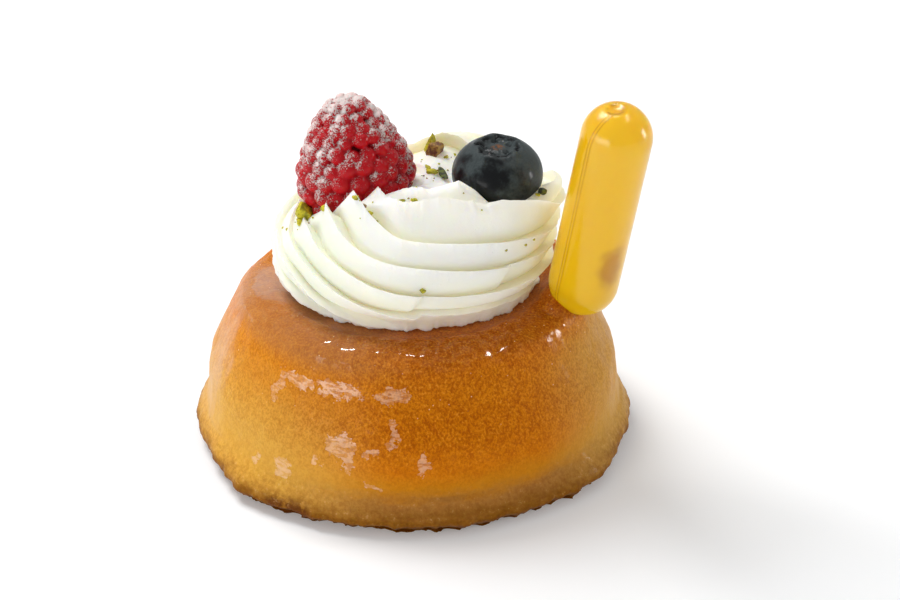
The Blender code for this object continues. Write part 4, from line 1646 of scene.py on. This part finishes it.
    def mound(self, x: np.ndarray, y: np.ndarray) -> np.ndarray:
        """Works out the soft inner ridge between the berries and the valley in front of it, in metres.

        Args:
            x: Places across.
            y: Places towards the back.

        Returns:
            The rise at each.
        """
        crest = np.interp(x / MM, self.mound_turns, self.mound_crests)
        rise = np.interp(x / MM, self.mound_places, self.mound_rises)
        across = y / MM - crest
        valley = 0.5 * np.clip(rise, 0.0, 1.6) * np.exp(-(((across + 3.4) / 1.1) ** 2))
        return (rise * np.exp(-((across / 1.7) ** 2)) - valley) * MM

    def build_mesh(self) -> Shape:
        """Lays a grid along the spiral ridges, closes its base and presses the berries in.

        Returns:
            The shape, which stores each point's share of groove.
        """
        front = self.climb(FRONT)
        lowest = math.floor(-self.starts * front)
        highest = math.ceil(self.last + self.starts * (1.0 - front))
        phases = [band + share for band in range(lowest, highest) for share in self.rows] + [float(highest)]
        places = np.linspace(0.0, float(self.last), self.table_steps + 1)
        tables = self.quarter_tables(places)
        columns = [
            self.column(TURN * step / self.turn_steps, np.array(phases), places, tables)
            for step in range(self.turn_steps + 1)
        ]
        bm = bmesh.new()
        bmesh.ops.create_grid(bm, x_segments=self.turn_steps, y_segments=len(phases) - 1, size=0.5)
        layer = bm.verts.layers.float.new("groove")
        for vert in bm.verts:
            turn = round((vert.co.x + 0.5) * self.turn_steps)
            row = round((vert.co.y + 0.5) * (len(phases) - 1))
            radius, height, groove = columns[turn][row]
            vert.co = around(TURN * turn / self.turn_steps, radius, height)
            vert[layer] = groove
        bmesh.ops.remove_doubles(bm, verts=bm.verts, dist=4.0 * MERGE)
        bmesh.ops.dissolve_degenerate(bm, dist=MERGE, edges=bm.edges)
        bmesh.ops.holes_fill(bm, edges=[edge for edge in bm.edges if edge.is_boundary], sides=0)
        bmesh.ops.recalc_face_normals(bm, faces=bm.faces)
        self.press_berries(bm)
        return bm

    def press_berries(self, bm: Shape) -> None:
        """Presses the two berries into the cream.

        Args:
            bm: The shape, which is changed.
        """
        berry_frame = self.blueberry.frame()
        inverse = berry_frame.inverted()
        wide = self.blueberry.radius + self.blueberry_gap
        tall = self.blueberry.half_height + self.blueberry_gap
        inner_radius = self.raspberry.radius - self.raspberry_sunk
        hollow = turned(self.raspberry.profile(inner_radius, self.raspberry_low), 64)
        bmesh.ops.transform(hollow, matrix=self.raspberry.frame(), verts=hollow.verts)
        nearest = BVHTree.FromBMesh(hollow)
        for vert in bm.verts:
            own = inverse @ vert.co
            reach = math.sqrt((own.x / wide) ** 2 + (own.y / wide) ** 2 + (own.z / tall) ** 2)
            if 1e-6 < reach < 1.0:
                vert.co = berry_frame @ (own / reach)
            place, normal, _, _ = nearest.find_nearest(vert.co, 12.0 * MM)
            if place is not None and (vert.co - place).dot(normal) < 0.0:
                vert.co = place
        hollow.free()

    def build(self) -> bpy.types.Object:
        """Builds and dresses the cream.

        Returns:
            The cream.
        """
        cream = new_object("piped_cream", self.build_mesh(), 80.0)
        finish_piece(cream, CreamFinish().build(), "cream")
        return cream


@dataclass(frozen=True)
class Nut:
    """One piece of pistachio: its place from above and its sizes in millimetres, and its kind.

    A piece with no height of its own is as tall as it is wide.
    """

    x: float
    y: float
    length: float
    width: float
    tall: float = 0.0
    kind: NutKind = NutKind.GREEN


@dataclass
class Nuts:
    """Chopped pistachio on the cream, one mesh for each kind."""

    cream: bpy.types.Object
    seed: int = 11
    on_top: tuple[Nut, ...] = (
        Nut(3.7, 10.6, 3.0, 2.8, 5.4, kind=NutKind.BROWN),
        Nut(3.0, 12.2, 2.2, 2.0, 6.4),
        Nut(5.6, 9.6, 1.0, 0.7),
        Nut(4.9, 5.2, 4.6, 1.2, kind=NutKind.DARK),
        Nut(3.4, 4.8, 1.9, 1.3),
        Nut(2.6, 5.9, 1.0, 0.7),
        Nut(-17.4, -4.6, 3.0, 2.6, 4.6),
        Nut(-17.0, -3.2, 1.7, 1.4, kind=NutKind.DARK),
        Nut(-18.0, -5.8, 1.8, 1.3),
        Nut(-14.0, -9.4, 1.9, 1.2),
        Nut(-8.8, -13.2, 1.6, 1.0),
        Nut(-7.6, -14.0, 1.7, 0.7, kind=NutKind.BROWN),
        Nut(-6.6, -14.8, 1.3, 0.9),
        Nut(-5.6, -15.2, 0.9, 0.7),
        Nut(-1.4, -10.9, 1.0, 0.7),
        Nut(0.6, -11.0, 1.3, 0.8),
        Nut(3.6, -11.2, 1.6, 1.0),
        Nut(2.2, -11.1, 0.8, 0.5, kind=NutKind.DARK),
        Nut(16.4, -12.3, 1.7, 1.6, 3.2),
        Nut(21.0, -5.6, 1.9, 1.3, kind=NutKind.DARK),
        Nut(20.3, -6.4, 1.1, 0.8),
    )
    on_side: Rows = (
        (275.0, 36.9, 1.0), (194.0, 39.4, 0.6), (187.0, 38.4, 0.5), (324.0, 40.9, 0.5), (328.0, 41.4, 0.5),
        (314.0, 41.2, 0.45),
    )
    crumbs: int = 46
    crumb_places: Rows = (
        (3.6, 8.0, 2.2), (3.0, 4.6, 1.4), (-7.5, -13.6, 1.0), (2.0, -11.0, 1.6), (-17.0, -5.0, 1.2),
        (8.0, -12.0, 3.0),
    )
    crumb_kinds: tuple[NutKind, ...] = (NutKind.GREEN, NutKind.GREEN, NutKind.BROWN)
    break_count: int = 7

    def chunk(
        self, bm: Shape, centre: Vector, sizes: tuple[float, float, float], rng: random.Random,
    ) -> None:
        """Adds one broken piece with flat breaks to a shape.

        Args:
            bm: The shape to add to.
            centre: Where its middle is.
            sizes: Its length, width and rise in millimetres.
            rng: The random source.
        """
        made = bmesh.ops.create_icosphere(bm, subdivisions=3, radius=0.5)["verts"]
        breaks = []
        for _ in range(self.break_count):
            direction = Vector([rng.uniform(-1, 1) for _ in range(3)]).normalized()
            breaks.append((direction, rng.uniform(0.24, 0.42)))
        shift = Vector((rng.uniform(0, 50), rng.uniform(0, 50), 0.0))
        for vert in made:
            for direction, limit in breaks:
                over = vert.co.dot(direction) - limit
                if over > 0.0:
                    vert.co -= direction * over
            lumps = 0.16 * noise.noise(vert.co * 4.0 + shift) + 0.07 * noise.noise(vert.co * 11.0 + shift)
            vert.co *= 1.0 + lumps
        length, width, tall = (size * MM for size in sizes)
        size = Matrix.Diagonal((1.15 * length, 1.15 * width, 0.95 * tall, 1.0))
        turn = Matrix.Rotation(rng.uniform(0.0, math.pi), 4, "Z")
        turn = turn @ Matrix.Rotation(rng.uniform(-0.5, 0.5), 4, "X")
        bmesh.ops.transform(bm, matrix=Matrix.Translation(centre) @ turn @ size, verts=made)

    def build(self) -> None:
        """Builds and dresses the three kinds."""
        surface = BVHTree.FromObject(self.cream, bpy.context.evaluated_depsgraph_get())
        rng = random.Random(self.seed)
        shapes = {kind: bmesh.new() for kind in NutKind}
        for nut in self.on_top:
            place = surface.ray_cast(Vector((nut.x, nut.y, 80.0)) * MM, DOWN)[0]
            self.chunk(shapes[nut.kind], place, (nut.length, nut.width, nut.tall or nut.width), rng)
        for turn, height, size in self.on_side:
            inward = -around(math.radians(turn))
            outside = UP * (height * MM) - inward * 60.0 * MM
            place = surface.ray_cast(outside, inward)[0]
            self.chunk(shapes[NutKind.GREEN], place, (size,) * 3, rng)
        for _ in range(self.crumbs):
            x, y, spread = rng.choice(self.crumb_places)
            above = Vector((rng.gauss(x, spread), rng.gauss(y, spread), 80.0)) * MM
            place = surface.ray_cast(above, DOWN)[0]
            size = rng.uniform(0.22, 0.5)
            if place is not None:
                self.chunk(shapes[rng.choice(self.crumb_kinds)], place, (size,) * 3, rng)
        finishes = {
            NutKind.GREEN: NutFinish("Pistachio kernel", (0.640, 0.560, 0.014), (0.300, 0.280, 0.008)),
            NutKind.DARK: NutFinish("Pistachio edge", (0.120, 0.150, 0.012), (0.016, 0.022, 0.006)),
            NutKind.BROWN: NutFinish("Pistachio skin", (0.420, 0.230, 0.040), (0.110, 0.030, 0.010)),
        }
        for kind, bm in shapes.items():
            finish_piece(new_object(kind.value, bm, 40.0), finishes[kind].build())


@dataclass(frozen=True)
class SoftBox:
    """A soft light that faces the object.

    Its turn is in degrees round the object, its rise in degrees over the horizon, its distance and size in
    metres and its power in watts. A light that isn't mirrored shows on no glossy surface, and one that
    isn't lighting shows there alone.
    """

    name: str
    turn: float
    rise: float
    away: float
    size: tuple[float, float]
    power: float
    mirrored: bool = True
    lighting: bool = True

    def hang(self, target: Vector) -> None:
        """Hangs the light round a target.

        Args:
            target: The point that it faces.
        """
        data = bpy.data.lights.new(self.name, "AREA")
        data.shape = "RECTANGLE"
        data.size, data.size_y = self.size
        data.energy = self.power
        lamp = bpy.data.objects.new(self.name, data)
        lamp.visible_glossy = self.mirrored
        lamp.visible_diffuse = self.lighting
        lamp.visible_transmission = self.lighting
        rise = math.radians(self.rise)
        direction = around(math.radians(self.turn), math.cos(rise), math.sin(rise))
        lamp.location = target + direction * self.away
        lamp.rotation_euler = direction.to_track_quat("Z", "Y").to_euler()
        bpy.context.scene.collection.objects.link(lamp)


@dataclass
class Studio:
    """The camera, the soft lights and the white sweep."""

    target: Vector = field(default_factory=lambda: Vector((0.00622, 0.0, 0.02345)))
    elevation: float = math.radians(29.0)
    distance: float = 0.5
    lens: float = 120.0
    sensor: float = 36.0
    ambient: float = 0.43
    floor_size: float = 6.0
    boxes: tuple[SoftBox, ...] = (
        SoftBox("Key", 134.0, 54.0, 0.65, (0.32, 0.32), 3.3, mirrored=False),
        SoftBox("Window", 225.0, 9.0, 0.6, (0.50, 0.18), 1.06),
        SoftBox("Fill", 6.0, 9.0, 0.6, (0.07, 0.16), 0.75),
        SoftBox("Overhead strip", 98.0, 77.0, 0.6, (0.14, 0.02), 0.50, lighting=False),
        SoftBox("Top strip", 118.0, 62.0, 0.6, (0.28, 0.012), 1.30, lighting=False),
        SoftBox("Side strip", 10.0, 62.0, 0.6, (0.22, 0.012), 0.50, lighting=False),
    )

    def place_camera(self) -> None:
        """Places the camera at the photograph's viewing angle."""
        data = bpy.data.cameras.new("Camera")
        data.lens = self.lens
        data.sensor_width = self.sensor
        data.clip_start = 0.01
        data.clip_end = 20.0
        camera = bpy.data.objects.new("Camera", data)
        back = Vector((0.0, -math.cos(self.elevation), math.sin(self.elevation)))
        camera.location = self.target + back * self.distance
        camera.rotation_euler = (-back).to_track_quat("-Z", "Y").to_euler()
        bpy.context.scene.collection.objects.link(camera)
        bpy.context.scene.camera = camera

    def build(self) -> None:
        """Sets up the camera, lights, world and floor."""
        self.place_camera()
        world = bpy.data.worlds.new("White room")
        world.use_nodes = True
        background = world.node_tree.nodes["Background"]
        background.inputs["Color"].default_value = (1.0, 1.0, 1.0, 1.0)
        background.inputs["Strength"].default_value = self.ambient
        bpy.context.scene.world = world
        bpy.context.scene.view_settings.view_transform = "Standard"
        for box in self.boxes:
            box.hang(self.target)
        bm = bmesh.new()
        bmesh.ops.create_grid(bm, x_segments=2, y_segments=2, size=0.5 * self.floor_size)
        floor = new_object("white_sweep", bm)
        floor.data.materials.append(FloorFinish().build())


def main() -> None:
    """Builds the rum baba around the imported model."""
    logging.basicConfig(level=logging.INFO, format="%(message)s")
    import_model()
    Studio().build()
    bulb = Bulb()
    raspberry = Raspberry()
    blueberry = Blueberry()
    Cake(bulb).build()
    raspberry.build()
    blueberry.build()
    cream = Cream(raspberry, blueberry).build()
    Nuts(cream).build()
    Pipette(bulb).build()


if __name__ == "__main__":
    main()
